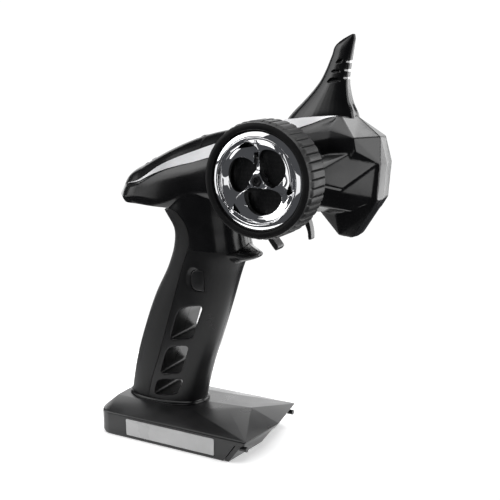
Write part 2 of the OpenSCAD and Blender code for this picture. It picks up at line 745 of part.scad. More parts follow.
module steering_bracket() color([0.12, 0.12, 0.12])
    difference() {
        rod_y(wheel_x, wheel_z, -22, -20.7, 12.9);
        rod_y(wheel_x, wheel_z, -30, -10, 3.6);
    }

module steering_pot() color([0.2, 0.25, 0.6])
    difference() {
        union() {
            rod_y(wheel_x, wheel_z, -20.6, -12, 8);
            translate([wheel_x - 3, -18, wheel_z + 6]) cube([6, 2, 5]);
        }
        rod_y(wheel_x, wheel_z, -30, -15, shaft_r + fit);
    }

// ---- trigger ----

// Narrower front prong that is pushed forward to brake
module front_prong() {
    across(-2.5, 2.5) polygon([[76.4, 149.5], [80, 149.5], [80.6, 142], [82, 137.5], [83, 133.4],
        [83.2, 129.4], [81.4, 129], [80.9, 133.2], [79.4, 137.2], [77.9, 142]]);
}

module trigger() color([0.07, 0.07, 0.07]) {
    front_prong();
    difference() {
        across(-trigger_w / 2, trigger_w / 2) difference() {
            union() {
                translate([trigger_x, trigger_z]) circle(r = 5.6);
                // neck and crossbar above the finger
                polygon([[67, 163], [77, 163], [80, 152.5], [80.2, 149], [58, 149], [62, 152.5]]);
                // rear prong, slanting forward under the finger
                polygon([[54.8, 149.5], [59.4, 149.5], [57.8, 140], [57.8, 133], [60.3, 127.5],
                    [63.5, 123.3], [61.6, 121.5], [57, 127.1], [54.8, 131.5], [54, 139]]);
                polygon([[54.8, 149.5], [60, 149.5], [62, 152.5], [58.6, 151.8]]);
            }
            translate([trigger_x, trigger_z]) circle(r = trigger_shaft_r + 0.02);
        }
        translate([trigger_x - 8, -trigger_w, trigger_z - 7]) cube([16, trigger_w - 1.6, 14]);
    }
}

module trigger_shaft() color("silver") rod_y(trigger_x, trigger_z, -8.6, 12.4, trigger_shaft_r);

module trigger_bracket() color([0.12, 0.12, 0.12])
    difference() {
        union() {
            for (y = [-8.4, 5.4]) translate([trigger_x - 7, y, trigger_z - 6]) cube([14, 1.8, 17]);
            translate([trigger_x - 7, -8.4, trigger_z + 9]) cube([14, 15.6, 2]);
            // arms that rest in the two half shells
            translate([trigger_x - 7, -18.6, trigger_z + 9]) cube([6, 37.2, 2]);
        }
        rod_y(trigger_x, trigger_z, -20, 20, trigger_shaft_r + fit);
    }

module trigger_spring() color("silver")
    tube(coil_with_legs(trigger_x, trigger_z, -5.9, 1.2, 3, 3.6, 5), 0.45, 6);

module trigger_pot() color([0.2, 0.25, 0.6])
    difference() {
        union() {
            rod_y(trigger_x, trigger_z, 7.6, 14, 7);
            translate([trigger_x - 3, 10, trigger_z - 11]) cube([6, 2, 6]);
        }
        rod_y(trigger_x, trigger_z, 0, 12.8, trigger_shaft_r + fit);
    }

// ---- thumb button ----

// Round behind and straight in front, like a letter D turned round
module button_outline(grow) {
    offset(delta = grow) hull() {
        translate([button_x - 0.4, button_z + 2.3]) circle(r = 4.2, $fn = 32);
        translate([button_x - 0.4, button_z - 2.3]) circle(r = 4.2, $fn = 32);
        translate([button_x + 3.4, button_z]) square([1.6, 12.6], center = true);
    }
}

module grip_button() color([0.07, 0.07, 0.07]) {
    across(-16, button_back_y) button_outline(0);
    // flange that keeps the button in
    across(button_back_y - 0.5, button_back_y) button_outline(0.9);
}

module button_switch() color([0.15, 0.15, 0.15]) {
    across(-8.4, -5) translate([button_x - 3, button_z - 3]) square([6, 6]);
    rod_y(button_x, button_z, -8.8, -8.4, 1.6);
}

module button_board() color([0.05, 0.3, 0.12])
    across(-5, -3.6) translate([button_x - 9.6, button_z - 6]) square([20.4, 12]);

// ---- top controls ----

module power_slider() color([0.8, 0.8, 0.8])
    on_deck(rear_deck, 13.4) {
        translate([0, 0, 0.9]) cube([5, 4.2, 1.8], center = true);
        translate([0, 0, -1.6]) cube([3, 3, 3.6], center = true);
    }

module power_switch() color([0.6, 0.6, 0.6])
    on_deck(rear_deck, 15) difference() {
        translate([0, 0, -5.1]) cube([13, 7, 5.8], center = true);
        translate([0, 0, -1.9]) cube([9, 3.8, 3.8], center = true);
    }

module status_leds() color([0.9, 0.2, 0.15])
    for (y = [-3.5, 3.5]) on_deck(rear_deck, 5, y) translate([0, 0, -8])
        cylinder(r = 1.5, h = 8.8);

module bind_button() color([0.7, 0.7, 0.72])
    on_deck(rear_deck, -5) translate([0, 0, -2.2]) cylinder(r = 2.5, h = 4);

module bind_switch() color([0.15, 0.15, 0.15])
    on_deck(rear_deck, -5) {
        translate([0, 0, -6]) cube([6, 6, 4], center = true);
        translate([0, 0, -4.1]) cylinder(r = 1.4, h = 0.7);
    }

module reverse_lever(side) {
    on_deck(rear_deck, -15.8, side) {
        translate([0, 0, 0.7]) cube([2.6, 2.4, 1.6], center = true);
        translate([0, 0, -1.6]) cube([1.6, 1.6, 3.4], center = true);
    }
}

module steering_reverse() color([0.8, 0.8, 0.8]) reverse_lever(-3.6);
module throttle_reverse() color([0.8, 0.8, 0.8]) reverse_lever(3.6);

module reverse_switches() color([0.6, 0.6, 0.6])
    for (y = [-3.6, 3.6]) on_deck(rear_deck, -14.5, y) difference() {
        translate([0, 0, -5.2]) cube([9, 4.6, 5.6], center = true);
        translate([0, 0, -2.2]) cube([6, 2.4, 3], center = true);
    }

module dial(k) {
    on_deck(front_deck, k * dial_pitch) {
        difference() {
            translate([0, 0, 0.35]) cylinder(r = dial_r, h = 1.9);
            translate([2, -0.5, 1.7]) cube([4, 1, 2]);
        }
        translate([0, 0, -6]) cylinder(r = 1.5, h = 6.4);
    }
}

module dial_pot(k) {
    on_deck(front_deck, k * dial_pitch) difference() {
        translate([0, 0, -6.8]) cube([10, 10, 4.2], center = true);
        translate([0, 0, -6.4]) cylinder(r = 1.5 + fit, h = 6);
    }
}

module steering_trim() color([0.15, 0.15, 0.15]) dial(-1);
module throttle_trim() color([0.15, 0.15, 0.15]) dial(0);
module rate_dial() color([0.15, 0.15, 0.15]) dial(1);
module steering_trim_pot() color([0.2, 0.25, 0.6]) dial_pot(-1);
module throttle_trim_pot() color([0.2, 0.25, 0.6]) dial_pot(0);
module rate_pot() color([0.2, 0.25, 0.6]) dial_pot(1);

// Boards under the two control decks, which carry the switches and the dial potentiometers
module panel_boards() color([0.05, 0.3, 0.12]) {
    on_deck(rear_deck, 0.5) translate([0, 0, -8.7]) cube([42, 13, 1.2], center = true);
    on_deck(front_deck, 0) translate([0, 0, -9.6]) cube([38, 14, 1.2], center = true);
}

head_right();
head_left();
grip_right();
grip_left();
backstrap();
rear_cap();
front_cap();
trim_right();
trim_left();
antenna_fin();
antenna_rod();
antenna_cable();
grip_collar();
base_shell();
base_plate();
battery_cover();
battery_pack();
battery_contacts();
battery_lead();
label_plate();
charge_socket();
base_screws();
housing_screws();
main_board();
processor();
rf_module();
board_screws();
steering_bush();
steering_shaft();
wheel_core();
chrome_face();
tyre();
wheel_screw();
steering_horn();
steering_spring();
steering_bracket();
steering_pot();
trigger();
trigger_shaft();
trigger_bracket();
trigger_spring();
trigger_pot();
grip_button();
button_switch();
button_board();
power_slider();
power_switch();
status_leds();
bind_button();
bind_switch();
steering_reverse();
throttle_reverse();
reverse_switches();
steering_trim();
throttle_trim();
rate_dial();
steering_trim_pot();
throttle_trim_pot();
rate_pot();
panel_boards();
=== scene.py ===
"""Looks of the pistol-grip radio transmitter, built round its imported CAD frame.

Shapes are worked out in millimetres in the CAD's own frame: +X forward, the wheel on the -Y side, +Z up.
Each piece is scaled to metres when it is finished, stands for its CAD node and rides on the same body.
"""

import json
import math

import bmesh
import bpy
import numpy as np
from mathutils import Matrix, Vector


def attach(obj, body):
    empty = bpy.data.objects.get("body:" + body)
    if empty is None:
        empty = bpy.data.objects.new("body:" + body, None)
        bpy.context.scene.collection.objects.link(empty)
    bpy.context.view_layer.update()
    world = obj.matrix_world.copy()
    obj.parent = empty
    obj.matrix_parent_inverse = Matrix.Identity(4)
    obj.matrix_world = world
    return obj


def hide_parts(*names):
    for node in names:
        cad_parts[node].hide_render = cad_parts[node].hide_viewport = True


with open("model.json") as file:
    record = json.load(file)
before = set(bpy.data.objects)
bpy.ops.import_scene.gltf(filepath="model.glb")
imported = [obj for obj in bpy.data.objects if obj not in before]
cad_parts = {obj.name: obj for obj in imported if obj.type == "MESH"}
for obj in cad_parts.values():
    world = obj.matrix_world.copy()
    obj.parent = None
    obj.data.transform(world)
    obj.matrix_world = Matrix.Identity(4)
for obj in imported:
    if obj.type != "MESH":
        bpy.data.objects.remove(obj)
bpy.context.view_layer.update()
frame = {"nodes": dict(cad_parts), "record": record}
SLOTS = {s["node"]: s["material_slot"] for s in frame["record"]["subparts"]}

MM = 0.001
SEAM = 0.14          # half of the dark gap between two mouldings
WALL = 2.2           # thickness of the moulded shells
PARTING_Z = 118.8    # plane between the head and the grip
FOOT_Z = 19.5        # foot of the grip, on the base's deck

# The wheel and its pylon
WHEEL_X, WHEEL_Z = 80.5, 169.0
WHEEL_FACE_Y, TYRE_BACK_Y = -64.2, -45.4
CHROME_R, TYRE_R = 24.9, 29.5

# Head stations from tail to nose: x, crown z, shoulder y, shoulder z, trim's lower y, trim's lower z,
# side y, underside z
HEAD = np.array([
    [-43, 151.0, 3.5, 149.8, 4.5, 148.6, 6.0, 144.6],
    [-38, 157.4, 8.0, 152.6, 9.5, 150.2, 11.0, 142.0],
    [-25, 165.8, 12.0, 156.6, 14.5, 154.0, 15.5, 141.4],
    [-10, 173.7, 13.5, 165.6, 17.0, 161.3, 18.3, 140.0],
    [18, 185.1, 14.0, 176.8, 18.0, 170.4, 20.0, 148.0],
    [46, 191.3, 14.0, 186.0, 18.5, 179.0, 21.0, 149.0],
    [72, 195.6, 14.0, 195.0, 18.5, 187.8, 21.0, 149.0],
    [100, 198.6, 9.2, 198.2, 10.1, 197.4, 20.0, 149.0],
])
# Grip slices from the foot up: z, centre x, half depth, half width
GRIP = np.array([
    [19.5, -14.4, 25.4, 15.4], [41, -9.7, 26.0, 15.3], [64, -2.4, 26.3, 15.2], [87, 5.8, 25.5, 15.2],
    [106, 13.6, 23.4, 15.6], [118.8, 18.0, 23.4, 16.6], [129, 18.2, 23.0, 17.6], [141, 14.6, 26.6, 18.6],
    [152, 14.0, 28.0, 19.4],
])
# Side outline of the rubber backstrap, closed far behind the grip
STRAP_SEAM = [(-6, 142), (3.4, 140.8), (8.5, 136.5), (11.5, 131), (12.4, 125), (10.9, 118), (6.6, 108),
              (1.4, 92), (-5.6, 69.6), (-12, 48.8), (-17.3, 33.7), (-20.6, 19.4)]
# Corners of the three windows through the grip
WINDOWS = [
    [(-3.4, 61.2), (11.4, 64.2), (19.2, 85.1), (9.1, 83.3), (4.2, 81), (1.4, 76.5)],
    [(-11, 38.4), (3.2, 41), (9.2, 58.9), (0, 57.4), (-4.4, 55.5), (-7, 51.3)],
    [(-16, 23.8), (0, 26.4), (4.8, 36.8), (-13, 34)],
]
# Antenna fin: z, rear x, front x, half width
FIN = np.array([
    [194, 66.0, 107.6, 7.2], [199, 70.4, 106.6, 6.6], [204.4, 76.0, 104.3, 5.6], [210, 81.4, 103.0, 4.6],
    [216, 86.2, 102.4, 3.7], [222, 89.4, 103.0, 3.1], [229, 92.4, 104.2, 2.6], [235, 95.2, 105.2, 2.1],
    [238, 99.6, 105.7, 1.7], [240, 103.8, 105.2, 1.2],
])
# Gills of the fin: side outline, and how far from the middle plane each one bottoms out
GILLS = [
    ([(95.5, 224.8), (97.2, 226.3), (100, 227.1), (98.9, 225.3)], 1.6),
    ([(93, 220.1), (94.6, 221.4), (98, 221.4), (98.6, 220.4)], 2.0),
    ([(90.7, 214.7), (93.2, 217), (97.2, 217.3), (99.2, 215.8)], 2.4),
]
# Control channels in the two top caps: x, crown z and slope in degrees
REAR_DECK = (-4, 176.55, 24.4)
FRONT_DECK = (42, 190.1, 11.6)
DECK_SINK = 2.5
CHANNEL_HALF_W = 7
DIAL_STEP = 13
CAP_SPLIT_X = 19
TRIGGER_PIVOT = (72, 163)
# Housing screws: x, z and the y of the head's seat
SCREWS = [(-26, 150, 11), (22, 134, 13), (96, 189, 13), (111, 160, 11), (30, 108, 9), (8, 88.4, 10)]
SCREW_SEAT_R = 2.8
# Screws under the base: the four up into the grip's foot, and the four of the bottom plate
FOOT_SCREWS = [(-27, 7), (-27, -7), (1, 8.5), (1, -8.5)]
PLATE_SCREWS = [(x, y) for x in (-37, 7) for y in (-24, 24)]


# ---- mesh helpers ----

def curve_rows(rows, places):
    """Rows of numbers at the given places, on smooth curves through the given rows; column 0 is the place."""
    rows = np.asarray(rows, float)
    at = rows[:, 0]
    slopes = np.gradient(rows, at, axis=0)
    out = []
    for p in places:
        i = int(np.clip(np.searchsorted(at, p) - 1, 0, len(at) - 2))
        h = at[i + 1] - at[i]
        t = (p - at[i]) / h
        t2, t3 = t * t, t * t * t
        out.append((2 * t3 - 3 * t2 + 1) * rows[i] + (t3 - 2 * t2 + t) * h * slopes[i]
                   + (3 * t2 - 2 * t3) * rows[i + 1] + (t3 - t2) * h * slopes[i + 1])
    return np.array(out)


def smooth_line(points, steps=6, closed=False):
    """A smooth line through given points."""
    p = np.asarray(points, float)
    n = len(p)
    out = []
    for i in range(n if closed else n - 1):
        pick = [(i + k) % n if closed else min(max(i + k, 0), n - 1) for k in (-1, 0, 1, 2)]
        a, b, c, d = p[pick]
        for k in range(steps):
            t = k / steps
            out.append(0.5 * (2 * b + (c - a) * t + (2 * a - 5 * b + 4 * c - d) * t ** 2
                              + (3 * b - a - 3 * c + d) * t ** 3))
    if not closed:
        out.append(p[-1])
    return np.array(out)


def rounded(points, radius, steps=6):
    """A closed outline with its corners rounded."""
    out = []
    n = len(points)
    for i in range(n):
        before, corner, after = (Vector(points[(i + k) % n]) for k in (-1, 0, 1))
        to_before, to_after = before - corner, after - corner
        reach = min(radius, to_before.length * 0.45, to_after.length * 0.45)
        a = corner + to_before.normalized() * reach
        b = corner + to_after.normalized() * reach
        for k in range(steps + 1):
            t = k / steps
            out.append(tuple((1 - t) ** 2 * a + 2 * t * (1 - t) * corner + t ** 2 * b))
    return out


def offset_outline(points, distance):
    """A closed outline moved outwards by a distance."""
    p = np.asarray(points, float)
    area = np.sum(p[:, 0] * np.roll(p[:, 1], -1) - np.roll(p[:, 0], -1) * p[:, 1])
    d = np.roll(p, -1, axis=0) - np.roll(p, 1, axis=0)
    normal = np.stack([d[:, 1], -d[:, 0]], axis=1) * np.sign(area)
    normal /= np.linalg.norm(normal, axis=1)[:, None]
    return p + normal * distance


def mesh_object(name, points, faces):
    """An object with its doubled points merged and its faces turned outwards."""
    mesh = bpy.data.meshes.new(name)
    mesh.from_pydata([tuple(map(float, p)) for p in points], [], faces)
    obj = bpy.data.objects.new(name, mesh)
    bpy.context.scene.collection.objects.link(obj)
    bm = bmesh.new()
    bm.from_mesh(mesh)
    bmesh.ops.remove_doubles(bm, verts=bm.verts, dist=1e-4)
    bmesh.ops.recalc_face_normals(bm, faces=bm.faces)
    bm.to_mesh(mesh)
    bm.free()
    return obj


def loft(name, rings):
    """A closed solid through rings that have the same number of points."""
    n = len(rings[0])
    faces = [list(range(n)), [(len(rings) - 1) * n + k for k in range(n)]]
    for i in range(len(rings) - 1):
        for k in range(n):
            b = (k + 1) % n
            faces.append([i * n + k, i * n + b, (i + 1) * n + b, (i + 1) * n + k])
    return mesh_object(name, np.concatenate(rings), faces)


def hull(name, points):
    obj = mesh_object(name, points, [])
    bm = bmesh.new()
    bm.from_mesh(obj.data)
    found = bmesh.ops.convex_hull(bm, input=bm.verts)
    spare = {v for v in found["geom_interior"] + found["geom_unused"] if isinstance(v, bmesh.types.BMVert)}
    bmesh.ops.delete(bm, geom=list(spare), context="VERTS")
    bmesh.ops.recalc_face_normals(bm, faces=bm.faces)
    bm.to_mesh(obj.data)
    bm.free()
    return obj


def section(x, half, first=-1):
    """A ring across the object at x, from its half outline in Y and Z; first is the side it starts on."""
    return [(x, first * y, z) for y, z in half] + [(x, -first * y, z) for y, z in reversed(half[1:-1])]


def prism(name, outline, y0, y1):
    """A side outline in X and Z, extruded across Y."""
    return loft(name, [[(p[0], y, p[1]) for p in outline] for y in (y0, y1)])


def box(name, low, high):
    (x0, y0, z0), (x1, y1, z1) = low, high
    return prism(name, [(x0, z0), (x1, z0), (x1, z1), (x0, z1)], y0, y1)


def circle(x, z, r, n=64):
    return [(x + r * math.cos(2 * math.pi * k / n), z + r * math.sin(2 * math.pi * k / n)) for k in range(n)]


def rod(name, x, z, y0, y1, r, n=64):
    """A round bar across Y."""
    return prism(name, circle(x, z, r, n), y0, y1)


def stud(x, y, z0, z1, r, n=40):
    """An upright round bar."""
    return loft("stud", [[(x + px, y + py, z) for px, py in circle(0, 0, r, n)] for z in (z0, z1)])


def wrapped(name, rings):
    """A ring-shaped solid: the last ring joins the first."""
    n, m = len(rings), len(rings[0])
    faces = []
    for k in range(n):
        b = (k + 1) % n
        faces += [[k * m + i, k * m + (i + 1) % m, b * m + (i + 1) % m, b * m + i] for i in range(m)]
    return mesh_object(name, np.concatenate(rings), faces)


def turned(name, profile, x, z, n=128, radius_at=None):
    """A ring turned about the wheel's axis: profile is a closed list of (r, y), and radius_at(r, y, angle)
    may change a radius."""
    rings = []
    for k in range(n):
        a = 2 * math.pi * k / n
        ring = []
        for r, y in profile:
            if radius_at:
                r = radius_at(r, y, a)
            ring.append((x + r * math.cos(a), y, z + r * math.sin(a)))
        rings.append(ring)
    return wrapped(name, rings)


def apply_modifiers(obj):
    graph = bpy.context.evaluated_depsgraph_get()
    mesh = bpy.data.meshes.new_from_object(obj.evaluated_get(graph))
    obj.modifiers.clear()
    old = obj.data
    obj.data = mesh
    bpy.data.meshes.remove(old)


def join(name, parts):
    points, faces = [], []
    for p in parts:
        start = len(points)
        points += [v.co.copy() for v in p.data.vertices]
        faces += [[start + i for i in f.vertices] for f in p.data.polygons]
        bpy.data.objects.remove(p)
    mesh = bpy.data.meshes.new(name)
    mesh.from_pydata(points, [], faces)
    obj = bpy.data.objects.new(name, mesh)
    bpy.context.scene.collection.objects.link(obj)
    return obj


def boolean(obj, tools, operation="DIFFERENCE"):
    """Cuts, joins or trims a solid with each tool, and uses the tools up."""
    for tool in tools:
        mod = obj.modifiers.new("cut", "BOOLEAN")
        mod.operation, mod.solver, mod.object = operation, "MANIFOLD", tool
        apply_modifiers(obj)
        bpy.data.objects.remove(tool)
    return obj


def moulded(obj, voxel, passes, share=0.3):
    """Turns overlapping solids into one moulding with softened edges and fillets."""
    mod = obj.modifiers.new("remesh", "REMESH")
    mod.mode, mod.voxel_size = "VOXEL", voxel
    apply_modifiers(obj)
    mod = obj.modifiers.new("smooth", "SMOOTH")
    mod.factor, mod.iterations = 0.5, passes
    if share < 1:
        mod = obj.modifiers.new("decimate", "DECIMATE")
        mod.ratio = share
    apply_modifiers(obj)
    return obj


def bevelled(obj, width, segments=3, angle=35):
    mod = obj.modifiers.new("bevel", "BEVEL")
    mod.width, mod.segments, mod.limit_method = width, segments, "ANGLE"
    mod.angle_limit = math.radians(angle)
    apply_modifiers(obj)
    return obj


def duplicate(obj, name):
    copy = bpy.data.objects.new(name, obj.data.copy())
    bpy.context.scene.collection.objects.link(copy)
    return copy


def finished(obj, name, node, body, angle=32, material=None):
    """Scales a shape to metres, shades it, and puts it in place of its CAD node, in its slot's material."""
    obj.data.transform(Matrix.Scale(MM, 4))
    obj.name = obj.data.name = name
    obj.data.materials.clear()
    obj.data.materials.append(MATERIALS[material or SLOTS[node]])
    obj.data.shade_smooth()
    obj.data.set_sharp_from_angle(angle=math.radians(angle))
    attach(obj, body)
    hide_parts(node)


def deck_matrix(deck, along, side=0.0):
    """From a control's own axes, with Z out of the deck, to the object's frame."""
    x, z, slope = deck
    return (Matrix.Translation((x, side, z - DECK_SINK)) @ Matrix.Rotation(math.radians(-slope), 4, "Y")
            @ Matrix.Translation((along, 0, 0)))


# ---- materials ----

def nodes_of(name):
    """A new material, its node tree and its shader."""
    material = bpy.data.materials.new(name)
    material.use_nodes = True
    tree = material.node_tree
    return material, tree, tree.nodes["Principled BSDF"]


def feed(tree, node, inputs):
    """Sets a node's inputs, each to a value or to the output that feeds it."""
    for key, value in inputs.items():
        if isinstance(value, bpy.types.NodeSocket):
            tree.links.new(value, node.inputs[key])
        else:
            node.inputs[key].default_value = value


def add(tree, kind, inputs, **settings):
    node = tree.nodes.new(kind)
    for key, value in settings.items():
        setattr(node, key, value)
    feed(tree, node, inputs)
    return node


def two_tone(tree, factor, first, second, low=0.0, high=1.0):
    """A colour that goes from first to second as the factor goes from low to high."""
    ramp = add(tree, "ShaderNodeValToRGB", {"Fac": factor})
    for element, place, colour in zip(ramp.color_ramp.elements, (low, high), (first, second)):
        element.position = place
        element.color = (*colour, 1)
    return ramp.outputs["Color"]


def surface(name, dark, light, rough, metallic=0.0, grain=900.0, grain_height=0.00002, blotch=60.0,
            coat=0.0, level=0.5, stretch=(1, 1, 1)):
    """A moulded, turned or plated surface: colour and roughness vary in soft blotches, and a fine grain
    breaks up the gloss. rough is the lowest and highest roughness."""
    material, tree, shader = nodes_of(name)
    place = add(tree, "ShaderNodeTexCoord", {})
    scaled = add(tree, "ShaderNodeMapping", {"Vector": place.outputs["Object"], "Scale": stretch})
    soft = add(tree, "ShaderNodeTexNoise", {"Vector": scaled.outputs[0], "Scale": blotch, "Detail": 3.0})
    gloss = add(tree, "ShaderNodeMapRange", {"Value": soft.outputs["Fac"], "From Min": 0.3, "From Max": 0.7,
                                             "To Min": rough[0], "To Max": rough[1]})
    fine = add(tree, "ShaderNodeTexNoise", {"Vector": scaled.outputs[0], "Scale": grain, "Detail": 2.0})
    bump = add(tree, "ShaderNodeBump", {"Height": fine.outputs["Fac"], "Strength": 1.0,
                                        "Distance": grain_height})
    feed(tree, shader, {
        "Base Color": two_tone(tree, soft.outputs["Fac"], dark, light, 0.35, 0.68),
        "Roughness": gloss.outputs["Result"], "Normal": bump.outputs["Normal"], "Metallic": metallic,
        "Coat Weight": coat, "Coat Roughness": 0.12, "Specular IOR Level": level})
    return material


def dotted(name):
    """Dark moulding with rows of small raised dots, seen through the wheel's openings."""
    material, tree, shader = nodes_of(name)
    place = add(tree, "ShaderNodeTexCoord", {})
    cells = add(tree, "ShaderNodeTexVoronoi", {"Vector": place.outputs["Object"], "Scale": 420.0,
                                               "Randomness": 0.0})
    colour = two_tone(tree, cells.outputs["Distance"], (0.02, 0.018, 0.026), (0.0015, 0.0015, 0.002),
                      0.18, 0.3)
    bump = add(tree, "ShaderNodeBump", {"Height": cells.outputs["Distance"], "Strength": 0.5,
                                        "Distance": 0.0003}, invert=True)
    feed(tree, shader, {"Base Color": colour, "Roughness": 0.4, "Normal": bump.outputs["Normal"]})
    return material


# Each surface: darkest and lightest colour, roughness, and what else differs from a plain moulding
LOOKS = {
    "head_black": ((0.0024, 0.0024, 0.0027), (0.0045, 0.0045, 0.005), (0.16, 0.24),
        dict(grain_height=0.000005, level=0.4)),
    "grip_black": ((0.004, 0.004, 0.0043), (0.0065, 0.0065, 0.007), (0.26, 0.36),
        dict(grain=1500.0, grain_height=0.00003, level=0.3)),
    "cap_black": ((0.003, 0.003, 0.0032), (0.005, 0.005, 0.0054), (0.16, 0.26),
        dict(grain_height=0.000005, level=0.28)),
    "strap_rubber": ((0.007, 0.007, 0.0072), (0.011, 0.011, 0.0115), (0.46, 0.58),
        dict(grain=1800.0, grain_height=0.00004, level=0.3)),
    "silver_trim": ((0.72, 0.72, 0.73), (0.82, 0.82, 0.83), (0.28, 0.36),
        dict(metallic=0.35, grain=4000.0, grain_height=0.000006)),
    "base_black": ((0.005, 0.005, 0.0053), (0.008, 0.008, 0.0085), (0.26, 0.36),
        dict(grain=1300.0, grain_height=0.00002, level=0.52)),
    "label_white": ((0.4, 0.4, 0.4), (0.46, 0.46, 0.46), (0.25, 0.35), dict(grain_height=0.000004)),
    "wheel_chrome": ((0.86, 0.86, 0.87), (0.93, 0.93, 0.94), (0.02, 0.05),
        dict(metallic=1.0, grain_height=0.000001)),
    "tyre_rubber": ((0.005, 0.005, 0.0053), (0.009, 0.009, 0.0095), (0.4, 0.52),
        dict(grain=2200.0, grain_height=0.00004, level=0.2)),
    "steel": ((0.5, 0.5, 0.52), (0.66, 0.66, 0.68), (0.2, 0.35), dict(metallic=1.0, stretch=(1, 12, 1))),
    "screw_black": ((0.02, 0.02, 0.022), (0.05, 0.05, 0.052), (0.25, 0.4), dict(metallic=0.8)),
    "brass": ((0.55, 0.38, 0.14), (0.72, 0.53, 0.24), (0.2, 0.35), dict(metallic=1.0)),
    "board_green": ((0.01, 0.11, 0.04), (0.02, 0.17, 0.07), (0.2, 0.35), dict(blotch=400.0)),
    "chip_black": ((0.012, 0.012, 0.012), (0.022, 0.022, 0.022), (0.4, 0.6), {}),
    "module_can": ((0.55, 0.55, 0.54), (0.7, 0.7, 0.68), (0.25, 0.4), dict(metallic=1.0)),
    "pot_blue": ((0.03, 0.06, 0.22), (0.05, 0.1, 0.32), (0.3, 0.45), {}),
    "battery_wrap": ((0.05, 0.09, 0.28), (0.08, 0.14, 0.38), (0.15, 0.3), dict(coat=0.3)),
    "wire_black": ((0.015, 0.015, 0.015), (0.025, 0.025, 0.025), (0.4, 0.5), {}),
    "wire_red": ((0.32, 0.01, 0.01), (0.45, 0.02, 0.02), (0.35, 0.45), {}),
    "inner_black": ((0.018, 0.018, 0.018), (0.03, 0.03, 0.03), (0.4, 0.55), {}),
    "horn_white": ((0.62, 0.61, 0.57), (0.72, 0.71, 0.67), (0.35, 0.5), {}),
    "trigger_black": ((0.004, 0.004, 0.0043), (0.007, 0.007, 0.0075), (0.26, 0.36), dict(grain=1300.0)),
    "control_silver": ((0.5, 0.5, 0.51), (0.6, 0.6, 0.61), (0.25, 0.35), dict(metallic=0.5)),
    "dial_black": ((0.012, 0.012, 0.0125), (0.02, 0.02, 0.021), (0.35, 0.5), {}),
    "led_red": ((0.5, 0.01, 0.008), (0.65, 0.03, 0.02), (0.1, 0.2), dict(coat=0.5)),
}
MATERIALS = {name: surface(name, dark, light, rough, **more)
             for name, (dark, light, rough, more) in LOOKS.items()}
MATERIALS["wheel_black"] = dotted("wheel_black")


# ---- housing forms ----

def head_ring(row, t):
    """Cross-section of the head at a station, drawn in by t. The shoulder and the trim's lower edge are
    creases, and the flank below them is round."""
    x, crown, sy, sz, ty, tz, wy, uz = row
    room = 0.45 * (tz - uz)
    drop, lift = min(room, float(np.interp(x, (46, 100), (6, 10)))), min(room, 6)
    top = smooth_line([(0, crown - t), (sy * 0.35, crown - 0.1 - t),
                       (sy * 0.72, crown - 0.3 * (crown - sz) - t), (sy - 0.8 * t, sz - 0.9 * t)], 4)
    flank = smooth_line([(ty - t, tz - t / 2), (wy - t, tz - drop), (wy - t, uz + lift),
                         (0.82 * (wy - t), uz + t + 0.6), (0.5 * (wy - t), uz + t), (0, uz + t)], 6)
    return section(x, np.concatenate([top, flank]))


def head_loft(name, t):
    """The head behind its faceted nose, drawn in by t."""
    places = np.concatenate([np.linspace(-43 + t, -25, 10), np.linspace(-23, 100, 42)])
    return loft(name, [head_ring(row, t) for row in curve_rows(HEAD, places)])


def mirrored(points):
    return points + [(x, -y, z) for x, y, z in points]


def nose_hulls(t):
    """Faceted nose. The left half's nose facet is wider than the right half's."""
    last = head_ring(HEAD[-1], t)
    upper = mirrored([
        (107.6 - t, 0, 198 - t), (102.4 - t, 9.4, 198 - t), (120.8 - t, 0, 187.4),
        (113.2 - t, 18.9 - t, 187.8), (114.4 - t, 19.4 - t, 181.6), (124.7 - t, 0, 173.8),
        (123.7 - t, 7.2, 174), (112 - t, 14 - t, 168)])
    lower = mirrored([
        (124.7 - t, 0, 173.8), (123.7 - t, 7.2, 174), (123.2 - t, 0, 154.6), (122.4 - t, 7.0, 155),
        (120.6 - t, 0, 149), (119.4 - t, 7, 149), (99, 18.6 - t, 149), (99, 18.6 - t, 176),
        (110, 14 - t, 178)])
    left = [(120.6 - t, 9.8, 187.2), (124.3 - t, 10.0, 173.6), (123.0 - t, 9.8, 155), (119.4 - t, 9.8, 149)]
    return [hull("nose", last + upper + left[:2]), hull("nose_low", lower + left[1:])]


def muzzle_hull(t):
    """The chin that hangs below the nose, also wider on the left half."""
    both = mirrored([
        (120.6 - t, 0, 149), (119.4 - t, 7, 149), (109.8 - t, 0, 133.2 + t), (108.6 - t, 6.3, 133.2 + t),
        (103.6, 12.4 - t, 135.2 + t), (104.6, 0, 137), (93 + t, 0, 149), (93 + t, 17.5 - t, 150),
        (103, 19.2 - t, 158), (117.4 - t, 9 - t, 158)])
    return hull("muzzle", both + [(119.0 - t, 10 - t, 149), (109.4 - t, 9.8 - t, 133.6 + t)])


